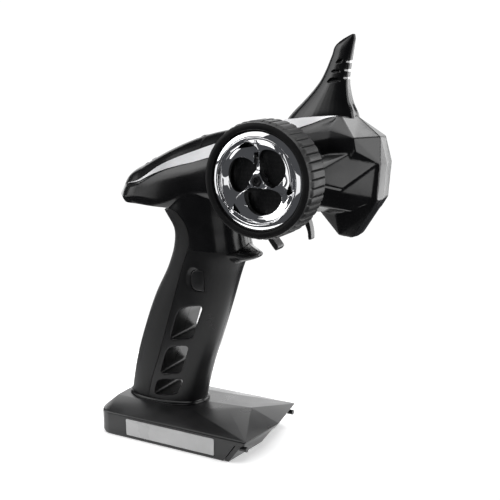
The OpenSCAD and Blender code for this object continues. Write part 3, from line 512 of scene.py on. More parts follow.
def pylon_parts(t):
    """The wheel's pylon: a cone round the shaft, and the facets that run from it to the nose."""
    end = -43 + (2.6 if t else 0)
    back = -17 if t else -19

    def ring(x, z, y, r):
        return [(px, y, pz) for px, pz in circle(x, z, r - t, 64)]

    cone = ring(WHEEL_X, WHEEL_Z, end, 16) + ring(WHEEL_X, WHEEL_Z, end + 1, 16)
    cone += ring(WHEEL_X, WHEEL_Z, -20, 18.5) + ring(WHEEL_X, WHEEL_Z, back, 18.5)
    out = end + 3
    cheek = [(96.5 - t, out, 169), (96 - t, out, 167), (91, out, 170 - t), (88, out, 166),
             (104 - t, -17 + t, 181 - t), (113.5 - t, -17 + t, 181.4 - t), (123.4 - t, -7.2 + t, 174.8 - t),
             (109.8 - t, -24 + t, 162), (96, -14 + t, 152 + t), (96, -14 + t, 180 - t)]
    under = [(95 - t, out + 1, 164), (90, out + 1, 156 + t), (84, out + 1, 156 + t), (84, out + 1, 166),
             (122.6 - t, -7.2 + t, 173 - t), (121.0 - t, -7.2 + t, 155.6 + t), (112 - t, -14 + t, 149 + t),
             (94, -18.6 + t, 148 + t), (94, -18.6 + t, 176 - t)]
    return [hull("pylon", cone), hull("cheek", cheek), hull("under", under)]


def grip_ring(row, t, flare=0.0, n=72):
    """A slice of the grip: a squared-off ellipse, with a ledge that grows towards the front."""
    z, cx, depth, width = row
    ring = []
    for k in range(n):
        a = 2 * math.pi * k / n
        c, s = math.cos(a), math.sin(a)
        forward = 0.5 + 0.5 * c
        out = flare * (0.35 + 0.65 * forward)
        ring.append((cx + (depth - t + out) * math.copysign(abs(c) ** 0.84, c),
                     (width - t + out) * math.copysign(abs(s) ** 0.84, s), z))
    return ring


def grip_loft(name, t, z0=FOOT_Z, z1=152.0, ledge=0.0, steps=50):
    """The grip between two heights, drawn in by t, with an optional ledge at the parting plane."""
    rings = []
    for row in curve_rows(GRIP, np.linspace(z0, z1, steps)):
        rise = max(0.0, 1 - (row[0] - PARTING_Z) / 12)
        rings.append(grip_ring(row, t, ledge * rise ** 2))
    return loft(name, rings)


# Beak of the finger ledge under the trigger: x, half width, underside z, top z
BEAK = np.array([
    [26, 12.8, 108.8, 142], [31, 12.7, 110.0, 135.0], [36, 12.4, 111.0, 129.0], [40, 11.8, 112.0, 124.6],
    [43, 10.7, 112.8, 122.1], [45.6, 9.0, 113.5, 120.5], [48, 6.9, 114.3, 119.3], [49.6, 5.0, 115.1, 118.6],
    [50.4, 3.2, 115.9, 117.8],
])


def guard(name):
    rings = []
    for x, half, low, high in curve_rows(BEAK, np.linspace(26, 50.4, 30)):
        level = low + 0.36 * (high - low) if high < 124 else 117.0
        side = smooth_line([(0, low), (0.6 * half, low + 0.1 * (level - low)), (half, level),
                            (0.72 * half, level + 0.55 * (high - level)), (0, high)], 5)
        rings.append(section(x, side))
    return loft(name, rings)


def strap_zone(name, grow):
    """Space of the rubber backstrap, seen from the side."""
    outline = np.concatenate([smooth_line(STRAP_SEAM, 5), [(-80, 19.4), (-80, 142)]])
    return prism(name, offset_outline(outline, grow), -40, 40)


def cap_low(row):
    return min(row[3] - 1.6, row[1] - 4.8)


def cap_zone(name, grow):
    """Space of the two top caps: everything between the head's two shoulder lines."""
    rings = []
    for row in curve_rows(HEAD[1:], np.linspace(-38, 100, 50)):
        low = cap_low(row)
        rise = row[3] - low
        half = [(0, low - grow), (row[2] - 1.3, low - grow), (row[2] + 3.9 + grow, row[3] + 3 * rise),
                (0, row[1] + 6)]
        rings.append(section(row[0], half, 1))
    rings.append(section(104.4, [(0, 192.6 - grow), (8.0, 192.6 - grow), (8.6, 204), (0, 206)], 1))
    return loft(name, rings)


# Width of the trim along the shoulder, as a share of the room it has: x, share
TRIM_TAPER = np.array([[-38, 0.0], [-31, 0.12], [-25, 0.34], [-10, 0.8], [18, 1], [46, 1], [72, 1],
                       [88, 0.85], [101.5, 0.12]])


def trim_strip(name, side, grow, proud=0.15):
    """Silver strip let into the shoulder, which tapers to nothing at both ends."""
    rings = []
    for row in curve_rows(HEAD, np.linspace(-38, 101.5, 60)):
        x, sy, sz, ty, tz = row[0], row[2], row[3], row[4], row[5]
        k = max(0.06, float(np.interp(x, TRIM_TAPER[:, 0], TRIM_TAPER[:, 1])))
        rise = 0.1 + proud - (0.6 + proud) * float(np.interp(x, (-38, -33, 98, 101.5), (1, 0, 0, 1)))
        y1, z1 = sy + rise, sz + rise
        y2, z2 = y1 + (ty - sy) * k, z1 + (tz - sz) * k
        rings.append([(x, side * y1, z1), (x, side * y2, z2), (x, side * (y2 - 1.2 - grow), z2 - 0.4 - grow),
                      (x, side * (y1 - 1.0 - grow), z1 - 1.1 - grow)])
    return loft(name, rings)


def side_slab(name, side):
    """Everything on one side of the seam."""
    return box(name, (-200, SEAM if side > 0 else -90, -5), (200, 90 if side > 0 else -SEAM, 330))


def head_pieces():
    """The head's two halves; also the full form that the top caps are cut from."""
    neck = grip_loft("neck", 0, PARTING_Z - 4, 152, ledge=2.0)
    parts = [head_loft("head", 0), neck, guard("guard_top"), muzzle_hull(0)] + nose_hulls(0) + pylon_parts(0)
    form = moulded(join("head_form", parts), 0.5, 7, 0.25)
    boolean(form, [box("above", (-200, -90, PARTING_Z + SEAM), (200, 90, 330))], "INTERSECT")
    caps_form = join("cap_form", [head_loft("cap_head", 0)] + nose_hulls(0))
    neck_hollow = grip_loft("neck_hollow", WALL, PARTING_Z - 6, 152)
    boolean(form, [head_loft("hollow", WALL), muzzle_hull(WALL), neck_hollow] + nose_hulls(WALL)
            + pylon_parts(WALL))
    boolean(form, [cap_zone("cap_gap", SEAM), trim_strip("trim_gap_r", -1, 0.2, 1.5),
                   trim_strip("trim_gap_l", 1, 0.2, 1.5), strap_zone("strap_gap", 2 * SEAM),
                   box("mouth", (48, -7, 140), (90, 7, 154)),
                   rod("bush_hole", WHEEL_X, WHEEL_Z, -50, -30, 6.1),
                   rod("pylon_way", WHEEL_X, WHEEL_Z, -30, 0, 13)])
    boolean(form, [rod("screw_seat", x, z, y, 40, SCREW_SEAT_R, 32) for x, z, y in SCREWS if z > PARTING_Z])
    for side, name, node in ((-1, "shell_head_right", "head_right"), (1, "shell_head_left", "head_left")):
        half = boolean(duplicate(form, name), [side_slab("half", side)], "INTERSECT")
        finished(half, name, node, "housing")
    bpy.data.objects.remove(form)
    return caps_form


def cap_pieces(form):
    """The two top caps with their control channels, and the trim strips beside them."""
    boolean(form, [cap_zone("cap_space", -SEAM)], "INTERSECT")
    hollow = []
    for row in curve_rows(HEAD[1:], np.linspace(-22, 60, 24)):
        low = cap_low(row)
        roof = max(row[1] - 4.6, low)
        half = [(0, low - 1), (row[2] - 3.4, low - 1), (min(row[2] - 3.6, 8.6), roof), (0, roof)]
        hollow.append(section(row[0], half, 1))
    boolean(form, [loft("cap_hollow", hollow)])
    for deck, x0, x1 in ((REAR_DECK, -21.5, 21.5), (FRONT_DECK, -20.5, 20.5)):
        channel = box("channel", (x0, -CHANNEL_HALF_W, 0), (x1, CHANNEL_HALF_W, 9))
        channel.data.transform(deck_matrix(deck, 0))
        boolean(form, [channel])
    notch = [(15.5, 183.1), (23.5, 185.5), (23.5, 230), (15.5, 230)]
    boolean(form, [prism("bridge", notch, -CHANNEL_HALF_W, CHANNEL_HALF_W)])
    boolean(form, [trim_strip("trim_room_r", -1, 0.2, 0.4), trim_strip("trim_room_l", 1, 0.2, 0.4)])
    spans = (("cap_rear", "rear_cap", -60, CAP_SPLIT_X - SEAM),
             ("cap_front", "front_cap", CAP_SPLIT_X + SEAM, 200))
    for name, node, x0, x1 in spans:
        cap = boolean(duplicate(form, name), [box("span", (x0, -30, 100), (x1, 30, 250))], "INTERSECT")
        moulded(cap, 0.3, 2, 0.3)
        if node == "rear_cap":
            holes = [hole_box(REAR_DECK, 15, 0, 11, 5.2), hole_rod(REAR_DECK, -5, 0, 2.9)]
            holes += [hole_rod(REAR_DECK, 5, y, 1.6) for y in (-3.5, 3.5)]
            holes += [hole_box(REAR_DECK, -14.5, y, 8, 3.2) for y in (-3.6, 3.6)]
        else:
            holes = [hole_rod(FRONT_DECK, DIAL_STEP * k, 0, 1.9) for k in (-1, 0, 1)]
        boolean(cap, holes)
        finished(cap, name, node, "housing")
    bpy.data.objects.remove(form)
    for side, name, node in ((-1, "trim_strip_right", "trim_right"), (1, "trim_strip_left", "trim_left")):
        finished(trim_strip(name, side, 0), name, node, "housing", 50)


def hole_rod(deck, along, side, r):
    obj = stud(0, 0, -10, 8, r)
    obj.data.transform(deck_matrix(deck, along, side))
    return obj


def hole_box(deck, along, side, dx, dy):
    obj = box("hole", (-dx / 2, -dy / 2, -10), (dx / 2, dy / 2, 8))
    obj.data.transform(deck_matrix(deck, along, side))
    return obj


BUTTON_X, BUTTON_Z = 16.7, 100.4


def button_outline(grow):
    """Round behind and straight in front."""
    points = []
    for k in range(33):
        a = math.radians(90 + 180 * k / 32)
        rise = 2.3 if a < math.pi else -2.3
        points.append((BUTTON_X - 0.4 + 4.2 * math.cos(a), BUTTON_Z + rise + 4.0 * math.sin(a)))
    points += [(BUTTON_X + 4.2, BUTTON_Z - 6.3), (BUTTON_X + 4.2, BUTTON_Z + 6.3)]
    return offset_outline(points, grow)


def ball(name, centre, radii, rings=24, n=48):
    rows = []
    for i in range(1, rings):
        a = math.pi * i / rings
        rows.append([(centre[0] + radii[0] * math.sin(a) * math.cos(2 * math.pi * k / n),
                      centre[1] + radii[1] * math.sin(a) * math.sin(2 * math.pi * k / n),
                      centre[2] + radii[2] * math.cos(a)) for k in range(n)])
    return loft(name, rows)


def grip_pieces():
    form = join("grip_form", [grip_loft("grip", 0, 15, 124), guard("guard_low")])
    windows = [prism("window", rounded(w, 3.2), -40, 40) for w in WINDOWS]
    boolean(form, windows + [ball("dish", (14.6, -18.6, 100.2), (8.2, 4.6, 10.2))])
    moulded(form, 0.45, 4, 0.3)
    boolean(form, [box("below", (-90, -60, PARTING_Z - SEAM), (90, 60, 200)),
                   box("foot", (-90, -60, 0), (90, 60, 19.52))])
    hollow = grip_loft("grip_hollow", WALL, 22.5, 130)
    boolean(hollow, [prism("tunnel", offset_outline(rounded(w, 3.2), 1.7), -40, 40) for w in WINDOWS])
    boolean(form, [hollow])
    strap = grip_loft("strap", 0.1, 19.6, 142)
    boolean(strap, [grip_loft("strap_hollow", WALL, 10, 150)])
    boolean(strap, [strap_zone("strap_part", -0.1)], "INTERSECT")
    boolean(strap, [head_loft("lap", -0.25)])
    boolean(form, [strap_zone("strap_room", 2 * SEAM)])
    boolean(form, [rod("grip_seat", x, z, y, 40, SCREW_SEAT_R, 32) for x, z, y in SCREWS if z < PARTING_Z])
    for side, name, node in ((-1, "shell_grip_right", "grip_right"), (1, "shell_grip_left", "grip_left")):
        half = boolean(duplicate(form, name), [side_slab("half", side)], "INTERSECT")
        if side < 0:
            boolean(half, [prism("button_hole", button_outline(0.35), -30, -11)])
        finished(half, name, node, "housing")
    bpy.data.objects.remove(form)
    bevelled(strap, 0.5, 2, 50)
    finished(strap, "strap_back", "backstrap", "housing")
    button = prism("button", button_outline(0), -14.9, -10.4)
    bevelled(button, 0.7, 4, 60)
    flange = prism("button_flange", button_outline(1.2), -11.2, -10.5)
    finished(join("thumb", [button, flange]), "thumb_cap", "grip_button", "thumb_button")


def collar_piece():
    rings = []
    for z, grow in ((FOOT_Z, 1.4), (20.2, 1.4), (20.9, 1.15), (21.4, 0.7), (21.7, 0.3), (FOOT_Z, 0.3)):
        rings.append(grip_ring((z, -14.0, 25.4 + grow, 15.4 + grow), 0, n=96))
    finished(wrapped("collar", rings), "collar_foot", "grip_collar", "housing", 40, "cap_black")


def fin_piece():
    """The antenna fin, with gills in its flanks and nicks in its front edge."""
    rings = []
    heights = np.concatenate([np.linspace(194, 236, 36), [237.5, 238.8, 239.9]])
    for z, rear, front, half in curve_rows(FIN, heights):
        side = smooth_line([(rear, 0.05), (rear + 0.12 * (front - rear), 0.45 * half),
                            (rear + 0.4 * (front - rear), 0.9 * half), (front - 0.28 * (front - rear), half),
                            (front - 0.5, 0.78 * half), (front, 0.1)], 4)
        rings.append([(x, -y, z) for x, y in side] + [(x, y, z) for x, y in side[::-1]])
    fin = loft("fin", rings)
    nicks = [(101.6, 225.7), (100.9, 221.3), (100.6, 217.3)]
    cuts = [box("nick", (x, -5, z - 0.7), (x + 6, 5, z + 0.7)) for x, z in nicks]
    for outline, low in GILLS:
        cuts += [prism("gill", outline, y0, y1) for y0, y1 in ((-12, -low), (low, 12))]
    boolean(fin, cuts)
    moulded(fin, 0.25, 4, 1)
    boolean(fin, [head_loft("fin_seat", -0.05)])
    finished(fin, "fin_antenna", "antenna_fin", "housing")


# ---- wheel ----

RIBS = 44
RIB_HEIGHT, RIB_CROWN = 0.85, 0.08


def tyre_radius(r, y, angle):
    """Rounded ribs across the tread, with a plain shoulder at the front."""
    if r < TYRE_R - 1.0:
        return r
    phase = (angle * RIBS / (2 * math.pi)) % 1.0
    groove = max(0.0, 1 - abs(phase - 0.5) / 0.14)
    edge = min(1.0, max(0.0, (y - WHEEL_FACE_Y - 2.2) / 1.6), max(0.0, (TYRE_BACK_Y - y) / 1.2))
    crown = RIB_CROWN * math.cos(2 * math.pi * phase)
    smooth = groove * groove * (3 - 2 * groove)
    return r - RIB_HEIGHT + edge * (RIB_HEIGHT * (1 - smooth) - RIB_CROWN + crown)


def wheel_pieces():
    front, back = WHEEL_FACE_Y, TYRE_BACK_Y
    profile = [(CHROME_R + 0.1, front + 0.9), (CHROME_R + 0.45, front + 0.25), (CHROME_R + 1.2, front + 0.02),
               (TYRE_R - 1.9, front + 0.1), (TYRE_R - 1.05, front + 0.55)]
    profile += [(TYRE_R, y) for y in np.linspace(front + 1.6, back - 0.5, 22)]
    profile += [(TYRE_R - 1.05, back - 0.1), (TYRE_R - 2.2, back), (CHROME_R + 0.1, back)]
    tyre = turned("tyre_body", profile, WHEEL_X, WHEEL_Z, RIBS * 14, tyre_radius)
    finished(tyre, "tyre_ribbed", "tyre", "steering_wheel", 40)
    chrome = boolean(chrome_blank(), wheel_openings())
    bevelled(chrome, 0.34, 3, 72)
    finished(chrome, "wheel_face", "chrome_face", "steering_wheel", 40)
    head = rod("screw_head", WHEEL_X, WHEEL_Z, front + 1.1, front + 3.0, 2.9, 6)
    boolean(head, [rod("socket", WHEEL_X, WHEEL_Z, front, front + 2.3, 1.5, 6)])
    bevelled(head, 0.25, 2, 30)
    shank = rod("shank", WHEEL_X, WHEEL_Z, front + 2.9, front + 5.0, 1.4, 32)
    finished(join("hub_screw", [head, shank]), "screw_hub", "wheel_screw", "steering_wheel")


def ease(value, low, high):
    t = min(1.0, max(0.0, (value - low) / (high - low)))
    return t * t * (3 - 2 * t)


# Chrome face from the hub out: radius, and depth behind the wheel's front
BOWL = np.array([
    [0, 1.2], [3.9, 1.2], [4.8, 1.9], [6, 3.4], [9, 4.6], [14, 4.9], [17.5, 4.0], [19.4, 2.9], [20.4, 2.2],
    [20.9, 2.2], [21.1, 1.2], [21.35, 0.25], [21.7, 0], [22.2, 0.1], [24.3, 1.05], [24.8, 1.5],
])
# Front edge of a blade: radius, angle in degrees
BLADE_LEAD = np.array([[4, 99], [8, 95], [11, 93], [14, 93.5], [16, 96], [18, 100], [19.7, 105], [22, 113]])
BLADE_HEIGHT = 3.2


def chrome_height(r, angle):
    """How far the chrome's front stands towards -Y: a bowl in a rounded rim, with three swept blades."""
    depth = float(np.interp(r, BOWL[:, 0], BOWL[:, 1]))
    lead = math.radians(float(np.interp(r, BLADE_LEAD[:, 0], BLADE_LEAD[:, 1])))
    swing = math.degrees((angle - lead + 1e-9) % (2 * math.pi / 3))
    blade = ease(swing, 0, 5) * (1 - ease(swing, 10, 84))
    reach = ease(r, 4.3, 8) * (1 - ease(r, 18.6, 21.0))
    return -WHEEL_FACE_Y - depth + BLADE_HEIGHT * blade * reach


def chrome_blank():
    """The chrome face before its openings are cut; its grid follows the blades' front edges."""
    n = 288
    radii = np.concatenate([np.linspace(1.0, 4.6, 8), np.linspace(5.0, 20.6, 42),
                            np.linspace(20.8, 22.2, 12), [23.2, 24.3, 24.8]])
    leads = np.radians(np.interp(radii, BLADE_LEAD[:, 0], BLADE_LEAD[:, 1]))
    rings = []
    for k in range(n):
        turns = [(r, 2 * math.pi * k / n + lead) for r, lead in zip(radii, leads)]
        rings.append([(WHEEL_X + r * math.cos(a), -chrome_height(r, a), WHEEL_Z + r * math.sin(a))
                      for r, a in turns])
    m = len(radii)
    points = np.concatenate(rings).tolist()
    back_y = WHEEL_FACE_Y + 6.6
    edge = CHROME_R - 0.1
    front_centre, back_centre = len(points), len(points) + 1
    points += [(WHEEL_X, WHEEL_FACE_Y + 1.2, WHEEL_Z), (WHEEL_X, back_y, WHEEL_Z)]
    back = len(points)
    points += [(WHEEL_X + edge * math.cos(2 * math.pi * k / n + leads[-1]), back_y,
                WHEEL_Z + edge * math.sin(2 * math.pi * k / n + leads[-1])) for k in range(n)]
    faces = []
    for k in range(n):
        b = (k + 1) % n
        faces += [[k * m + i, b * m + i, b * m + i + 1, k * m + i + 1] for i in range(m - 1)]
        faces += [[front_centre, b * m, k * m], [k * m + m - 1, b * m + m - 1, back + b, back + k],
                  [back_centre, back + k, back + b]]
    return mesh_object("chrome_blank", points, faces)


# Outline of the opening beside the upright spoke, and of the slot at its far end, about the hub
COMMA = [(2.4, 1.2), (0.6, 4.6), (-0.7, 8.8), (-0.9, 12.4), (0.9, 15.2), (4.8, 16.0), (9.6, 14.9),
         (13.4, 11.8), (15.6, 7.2), (15.0, 2.4), (12.0, -1.6), (8.0, -3.6), (4.6, -2.2)]
SLOT = [(15.6, -6.6), (18.6, 1.6), (19.6, -4.4)]


def wheel_openings():
    """Three openings and slots, the screw's room and the hollow back."""
    far, near = WHEEL_FACE_Y - 4, WHEEL_FACE_Y + 12
    tools = []
    for k in range(3):
        turn = Matrix.Rotation(2 * math.pi * k / 3, 2)
        for outline in (offset_outline(smooth_line(COMMA, 6, closed=True), -0.6), rounded(SLOT, 1.2, 4)):
            placed = [turn @ Vector((p[0], p[1])) for p in outline]
            tools.append(prism("opening", [(WHEEL_X + p[0], WHEEL_Z + p[1]) for p in placed], far, near))
    tools.append(rod("screw_room", WHEEL_X, WHEEL_Z, far, WHEEL_FACE_Y + 2.8, 3.15, 6))
    tools.append(rod("shank_room", WHEEL_X, WHEEL_Z, far, near, 1.6, 32))
    tools.append(rod("behind", WHEEL_X, WHEEL_Z, WHEEL_FACE_Y + 5.8, near, 22.6, 96))
    return tools


# ---- trigger, base, small parts ----

def trigger_piece():
    """The trigger: a rear finger loop, a front prong and the eye that it turns on."""
    pivot_x, pivot_z = TRIGGER_PIVOT
    rear = smooth_line([(59.4, 150), (57.9, 144), (57.5, 138), (58.1, 132), (60.3, 127.5), (63.5, 123.3),
                        (62.9, 121.7), (61.6, 121.3), (57.0, 127.1), (54.7, 132), (54.1, 139), (54.6, 146),
                        (55.6, 150.6)], 5)
    prong = smooth_line([(80.0, 150), (80.7, 142), (82.1, 137.5), (83.0, 133.4), (83.2, 129.6), (82.3, 128.9),
                         (81.4, 129.3), (80.9, 133.2), (79.3, 137.4), (77.9, 142), (76.6, 150)], 5)
    bar = [(80.2, 149), (80, 152.8), (77, 163), (67, 163), (62, 152.8), (57, 151.6), (55.4, 149)]
    body = prism("rear", rear, -4.2, 4.2)
    boolean(body, [prism("bar", bar, -4.2, 4.2), prism("prong", prong, -2.5, 2.5),
                   rod("eye", pivot_x, pivot_z, -1.6, 4.2, 5.6)], "UNION")
    boolean(body, [box("slot", (62, -9, 156), (82, -1.6, 171)),
                   rod("pivot", pivot_x, pivot_z, -9, 9, 2.05, 48)])
    moulded(body, 0.25, 3, 1)
    finished(body, "finger_trigger", "trigger", "throttle_trigger")


def base_ring(z, front_x, nose_x, rear_x, y):
    """The base's outline at a height, with rounded rear corners and a pointed front."""
    return mirrored([(rear_x, y - 9.3, z), (rear_x + 1.2, y - 5.6, z), (rear_x + 3, y - 3, z),
                     (rear_x + 5.6, y - 1.0, z), (rear_x + 9, y, z), (front_x, y, z), (nose_x, 0, z)])


def base_pieces():
    """The base moulding, its blank plate and its bottom plate."""
    half_w, edge, deck = 33.3, 14.8, FOOT_Z
    points = base_ring(0.2, 47.4, 52.0, -46.4, half_w - 0.3) + base_ring(1.4, 48.3, 52.9, -46.9, half_w)
    points += base_ring(edge - 1, 57.6, 62.2, -47, half_w) + base_ring(edge, 58.3, 62.9, -46.6, half_w - 0.5)
    points += mirrored([(-42, 17, deck), (14.4, 17, deck), (44, 16, 17.4), (44.4, 0, deck)])
    peak = mirrored([(8, 10, 18), (8, 0, 19.14), (8, 10, 14), (44, 16, 17.4), (44.4, 0, 21.2),
                     (58.3, half_w - 0.5, edge), (62.9, 0, edge)])
    body = bevelled(hull("base", points), 0.45, 2, 10)
    boolean(body, [bevelled(hull("peak", peak), 0.3, 2, 4)], "UNION")
    bay = box("bay", (-42, -29.5, -1), (98, 29.5, 11.6))
    boolean(bay, [stud(x, y, 1.9, 20, 4) for x, y in PLATE_SCREWS])
    cuts = [bay, box("rails", (10.4, -31.1, 1), (150, 31.1, 2.6))]
    for s in (-1, 1):
        cuts.append(hull("undercut", [(38.7, s * 60, -1), (47.3, s * 60, 11.6), (90, s * 60, -1),
                                      (90, s * 60, 11.6), (47.1, 0, -1), (55.8, 0, 11.6), (90, 0, -1),
                                      (90, 0, 11.6)]))
    label = rounded([(-24.8, 2.0), (37.8, 2.0), (37.8, 13.0), (-24.8, 13.0)], 1.4)
    cuts += [prism("label_room", label, -40, -32.9), box("port", (-60, -5.2, 3.6), (-40, 5.2, 10))]
    boolean(body, cuts)
    finished(body, "base_moulding", "base_shell", "housing")
    plate = bevelled(prism("label", offset_outline(label, -0.3), -33.45, -32.9), 0.12, 2, 60)
    finished(plate, "label_blank", "label_plate", "housing")
    bottom = box("bottom", (-41.8, -29.3, 0), (12.0, 29.3, 2))
    boolean(bottom, [stud(x, y, -1, 5, 2.7) for x, y in PLATE_SCREWS])
    finished(bevelled(bottom, 0.3, 2, 60), "bottom_panel", "base_plate", "housing")


def cover_piece():
    """The battery cover, with its grip ribs, sloping front wall, rails and two lugs."""
    floor = box("cover_floor", (12.4, -29.0, 0.4), (47, 29.0, 3.0))
    for k in range(6):
        boolean(floor, [box("grip_rib", (30 + 2.2 * k, -12, 0), (31.1 + 2.2 * k, 12, 0.8))])
    wall = []
    for s in (-1, 1):
        wall.append(hull("front_wall", [
            (44.0, s * 32.6, 0.4), (46.9, s * 32.6, 0.4), (51.4, s * 32.6, 11.2), (54.8, s * 32.6, 11.2),
            (48.6, 0, 0.4), (51.5, 0, 0.4), (56.0, 0, 11.2), (59.4, 0, 11.2)]))
        lug = rod("lug", 30.6 * s, 9.3, 0, 4.6, 1.5, 32)
        lug.data.transform(Matrix.Translation((58.0, 0, 0)) @ Matrix.Rotation(math.radians(90), 4, "Z"))
        wall.append(lug)
        wall.append(box("rail", (12.4, min(s * 28.8, s * 30.5), 1.3), (44, max(s * 28.8, s * 30.5), 2.3)))
    boolean(floor, wall, "UNION")
    bevelled(floor, 0.35, 2, 40)
    finished(floor, "cover_battery", "battery_cover", "cover")


def pan_screw(name, length):
    """A pan-head screw with a cross recess, standing on its tip along +Z, the head at the bottom."""
    profile = [(0.02, length), (1.4, length), (1.4, 1.2), (2.5, 1.2), (2.5, 0.6), (2.1, 0.15), (1.4, 0),
               (0.02, 0)]
    screw = turned(name, [(r, -z) for r, z in profile], 0, 0, 32)
    screw.data.transform(Matrix.Rotation(math.radians(-90), 4, "X"))
    boolean(screw, [box("cross_a", (-1.5, -0.3, -1), (1.5, 0.3, 0.7)),
                    box("cross_b", (-0.3, -1.5, -1), (0.3, 1.5, 0.7))])
    return screw


def screw_pieces():
    side = []
    for x, z, y in SCREWS:
        screw = pan_screw("screw", y + 9)
        screw.data.transform(Matrix.Translation((x, y + 1.8, z)) @ Matrix.Rotation(math.radians(90), 4, "X"))
        side.append(screw)
    finished(join("screws_side", side), "screws_housing", "housing_screws", "housing")
    under = []
    for x, y, z in [(x, y, 11.7) for x, y in FOOT_SCREWS] + [(x, y, 0.2) for x, y in PLATE_SCREWS]:
        screw = pan_screw("screw", 9.6)
        screw.data.transform(Matrix.Translation((x, y, z)))
        under.append(screw)
    finished(join("screws_under", under), "screws_base", "base_screws", "housing")


def dial_piece(name, node, body, k):
    """A knurled dial with a pointer groove."""
    n = 120
    rings = []
    for z, r in ((0.35, 5.2), (0.6, 5.5), (1.7, 5.5), (2.25, 5.0)):
        ring = []
        for i in range(n):
            a = 2 * math.pi * i / n
            knurl = 0.12 * math.cos(30 * a) if 0.5 < z < 2 else 0.0
            ring.append(((r + knurl) * math.cos(a), (r + knurl) * math.sin(a), z))
        rings.append(ring)
    knob = loft(name, rings)
    boolean(knob, [box("pointer", (1.5, -0.4, 1.6), (7, 0.4, 4))])
    boolean(knob, [stud(0, 0, -6, 0.5, 1.45, 32)], "UNION")
    knob.data.transform(deck_matrix(FRONT_DECK, DIAL_STEP * k))
    finished(knob, name, node, body)


def slider_piece(name, node, body, along, side, length, width):
    """A sliding cap with finger ribs."""
    cap = box(name, (-length / 2, -width / 2, 0.05), (length / 2, width / 2, 1.7))
    rib_step = 0.9
    ribs = int(length / rib_step)
    for i in range(ribs):
        x = (i + 0.5 - ribs / 2) * rib_step
        boolean(cap, [box("rib", (x - 0.18, -width, 1.3), (x + 0.18, width, 2.5))])
    half_x, half_y = length * 0.3, width * 0.33
    boolean(cap, [box("tongue", (-half_x, -half_y, -3.3), (half_x, half_y, 0.1))], "UNION")
    cap.data.transform(deck_matrix(REAR_DECK, along, side))
    finished(bevelled(cap, 0.1, 2, 50), name, node, body)


def small_pieces():
    dial_piece("dial_steering_trim", "steering_trim", "steering_trim_knob", -1)
    dial_piece("dial_throttle_trim", "throttle_trim", "throttle_trim_knob", 0)
    dial_piece("dial_rate", "rate_dial", "rate_knob", 1)
    slider_piece("slider_power", "power_slider", "power_cap", 13.4, 0, 5, 4.2)
    slider_piece("slider_steering_reverse", "steering_reverse", "steering_reverse_cap", -15.8, -3.6, 2.6, 2.4)
    slider_piece("slider_throttle_reverse", "throttle_reverse", "throttle_reverse_cap", -15.8, 3.6, 2.6, 2.4)


# ---- stage ----

CENTRE = (0.04, 0, 0.12)
HEAD_MIDDLE = (0.09, 0, 0.15)
# Area lights: name, place, aim, width and height, power
LIGHTS = [
    ("key_left", (-0.9, -0.6, 0.55), CENTRE, (0.7, 0.6), 3.5),
    ("top_soft", (0.05, 0.1, 1.1), CENTRE, (1.2, 1.2), 13),
    ("crown", (0.42, 0.72, 1.08), CENTRE, (0.4, 0.35), 2.6),
    ("rim_right", (0.85, 0.14, 0.28), HEAD_MIDDLE, (0.8, 0.8), 6),
    ("backdrop", (-0.6, 1.15, 0.42), (0.04, 0, 0.15), (2.4, 1.2), 17),
    ("key_high", (-0.6, -0.75, 0.85), CENTRE, (0.8, 0.8), 2.6),
    ("nose_left", (0.62, 0.95, 0.1), (0.12, 0, 0.16), (0.5, 0.8), 5),
    ("low_left", (-0.87, -0.37, 0.03), CENTRE, (0.6, 0.35), 0.7),
    ("low_right", (0.38, -1.01, 0.03), CENTRE, (0.6, 0.35), 0.6),
]
FLOOR_R, FLOOR_X, FLOOR_Y = 0.17, 0.01, -0.01    # small, so that the facets don't mirror it


def aimed(obj, place, target):
    """Puts a camera or a light in the scene, looking at a point."""
    obj.location = place
    obj.rotation_euler = (Vector(target) - Vector(place)).to_track_quat("-Z", "Y").to_euler()
    bpy.context.scene.collection.objects.link(obj)


def area_light(name, place, target, size, power):
    data = bpy.data.lights.new(name, "AREA")
    data.shape = "RECTANGLE"
    data.size, data.size_y = size
    data.energy = power
    aimed(bpy.data.objects.new(name, data), place, target)


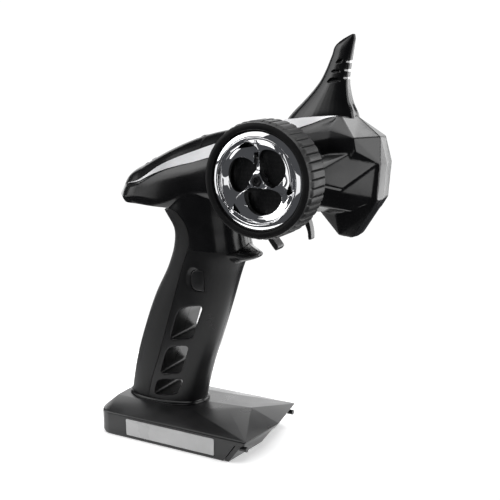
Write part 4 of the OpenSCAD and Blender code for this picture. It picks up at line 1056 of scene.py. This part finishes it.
def camera_view():
    camera = bpy.data.objects.new("camera", bpy.data.cameras.new("camera"))
    camera.data.sensor_width = 36
    camera.data.lens = 62.93
    camera.data.clip_start, camera.data.clip_end = 0.01, 20
    aimed(camera, (0.276144, -0.437539, 0.228480), (0.0435, 0.0, 0.118621))
    bpy.context.scene.camera = camera


def white_floor():
    """A matt white disc under the object."""
    material, tree, shader = nodes_of("floor_white")
    spot = add(tree, "ShaderNodeTexNoise", {"Scale": 3.0, "Detail": 1.0})
    colour = two_tone(tree, spot.outputs["Fac"], (0.93, 0.93, 0.93), (0.95, 0.95, 0.95))
    feed(tree, shader, {"Base Color": colour, "Emission Color": colour, "Emission Strength": 0.35,
                        "Roughness": 0.9, "Specular IOR Level": 0.1})
    rim = circle(0, 0, 1, 96)
    floor = mesh_object("floor", [(FLOOR_X + x * FLOOR_R, y * FLOOR_R + FLOOR_Y, 0) for x, y in rim],
                        [list(range(len(rim)))])
    floor.data.materials.append(material)


def studio_world():
    """White behind the object, and a dim blue-grey in its reflections."""
    world = bpy.data.worlds.new("studio")
    bpy.context.scene.world = world
    world.use_nodes = True
    tree = world.node_tree
    ground = tree.nodes["Background"]
    feed(tree, ground, {"Color": (0.9, 0.93, 1.0, 1), "Strength": 0.07})
    seen = add(tree, "ShaderNodeBackground", {"Color": (1, 1, 1, 1), "Strength": 1.05})
    path = add(tree, "ShaderNodeLightPath", {})
    mix = add(tree, "ShaderNodeMixShader", {"Fac": path.outputs["Is Camera Ray"], 1: ground.outputs[0],
                                            2: seen.outputs[0]})
    feed(tree, tree.nodes["World Output"], {"Surface": mix.outputs[0]})


def stage():
    camera_view()
    white_floor()
    studio_world()
    for light in LIGHTS:
        area_light(*light)
    bpy.context.scene.view_settings.view_transform = "Standard"


def main():
    caps_form = head_pieces()
    cap_pieces(caps_form)
    grip_pieces()
    collar_piece()
    fin_piece()
    wheel_pieces()
    trigger_piece()
    base_pieces()
    cover_piece()
    screw_pieces()
    small_pieces()
    for node, obj in frame["nodes"].items():
        obj.data.materials.clear()
        obj.data.materials.append(MATERIALS[SLOTS[node]])
    stage()


main()
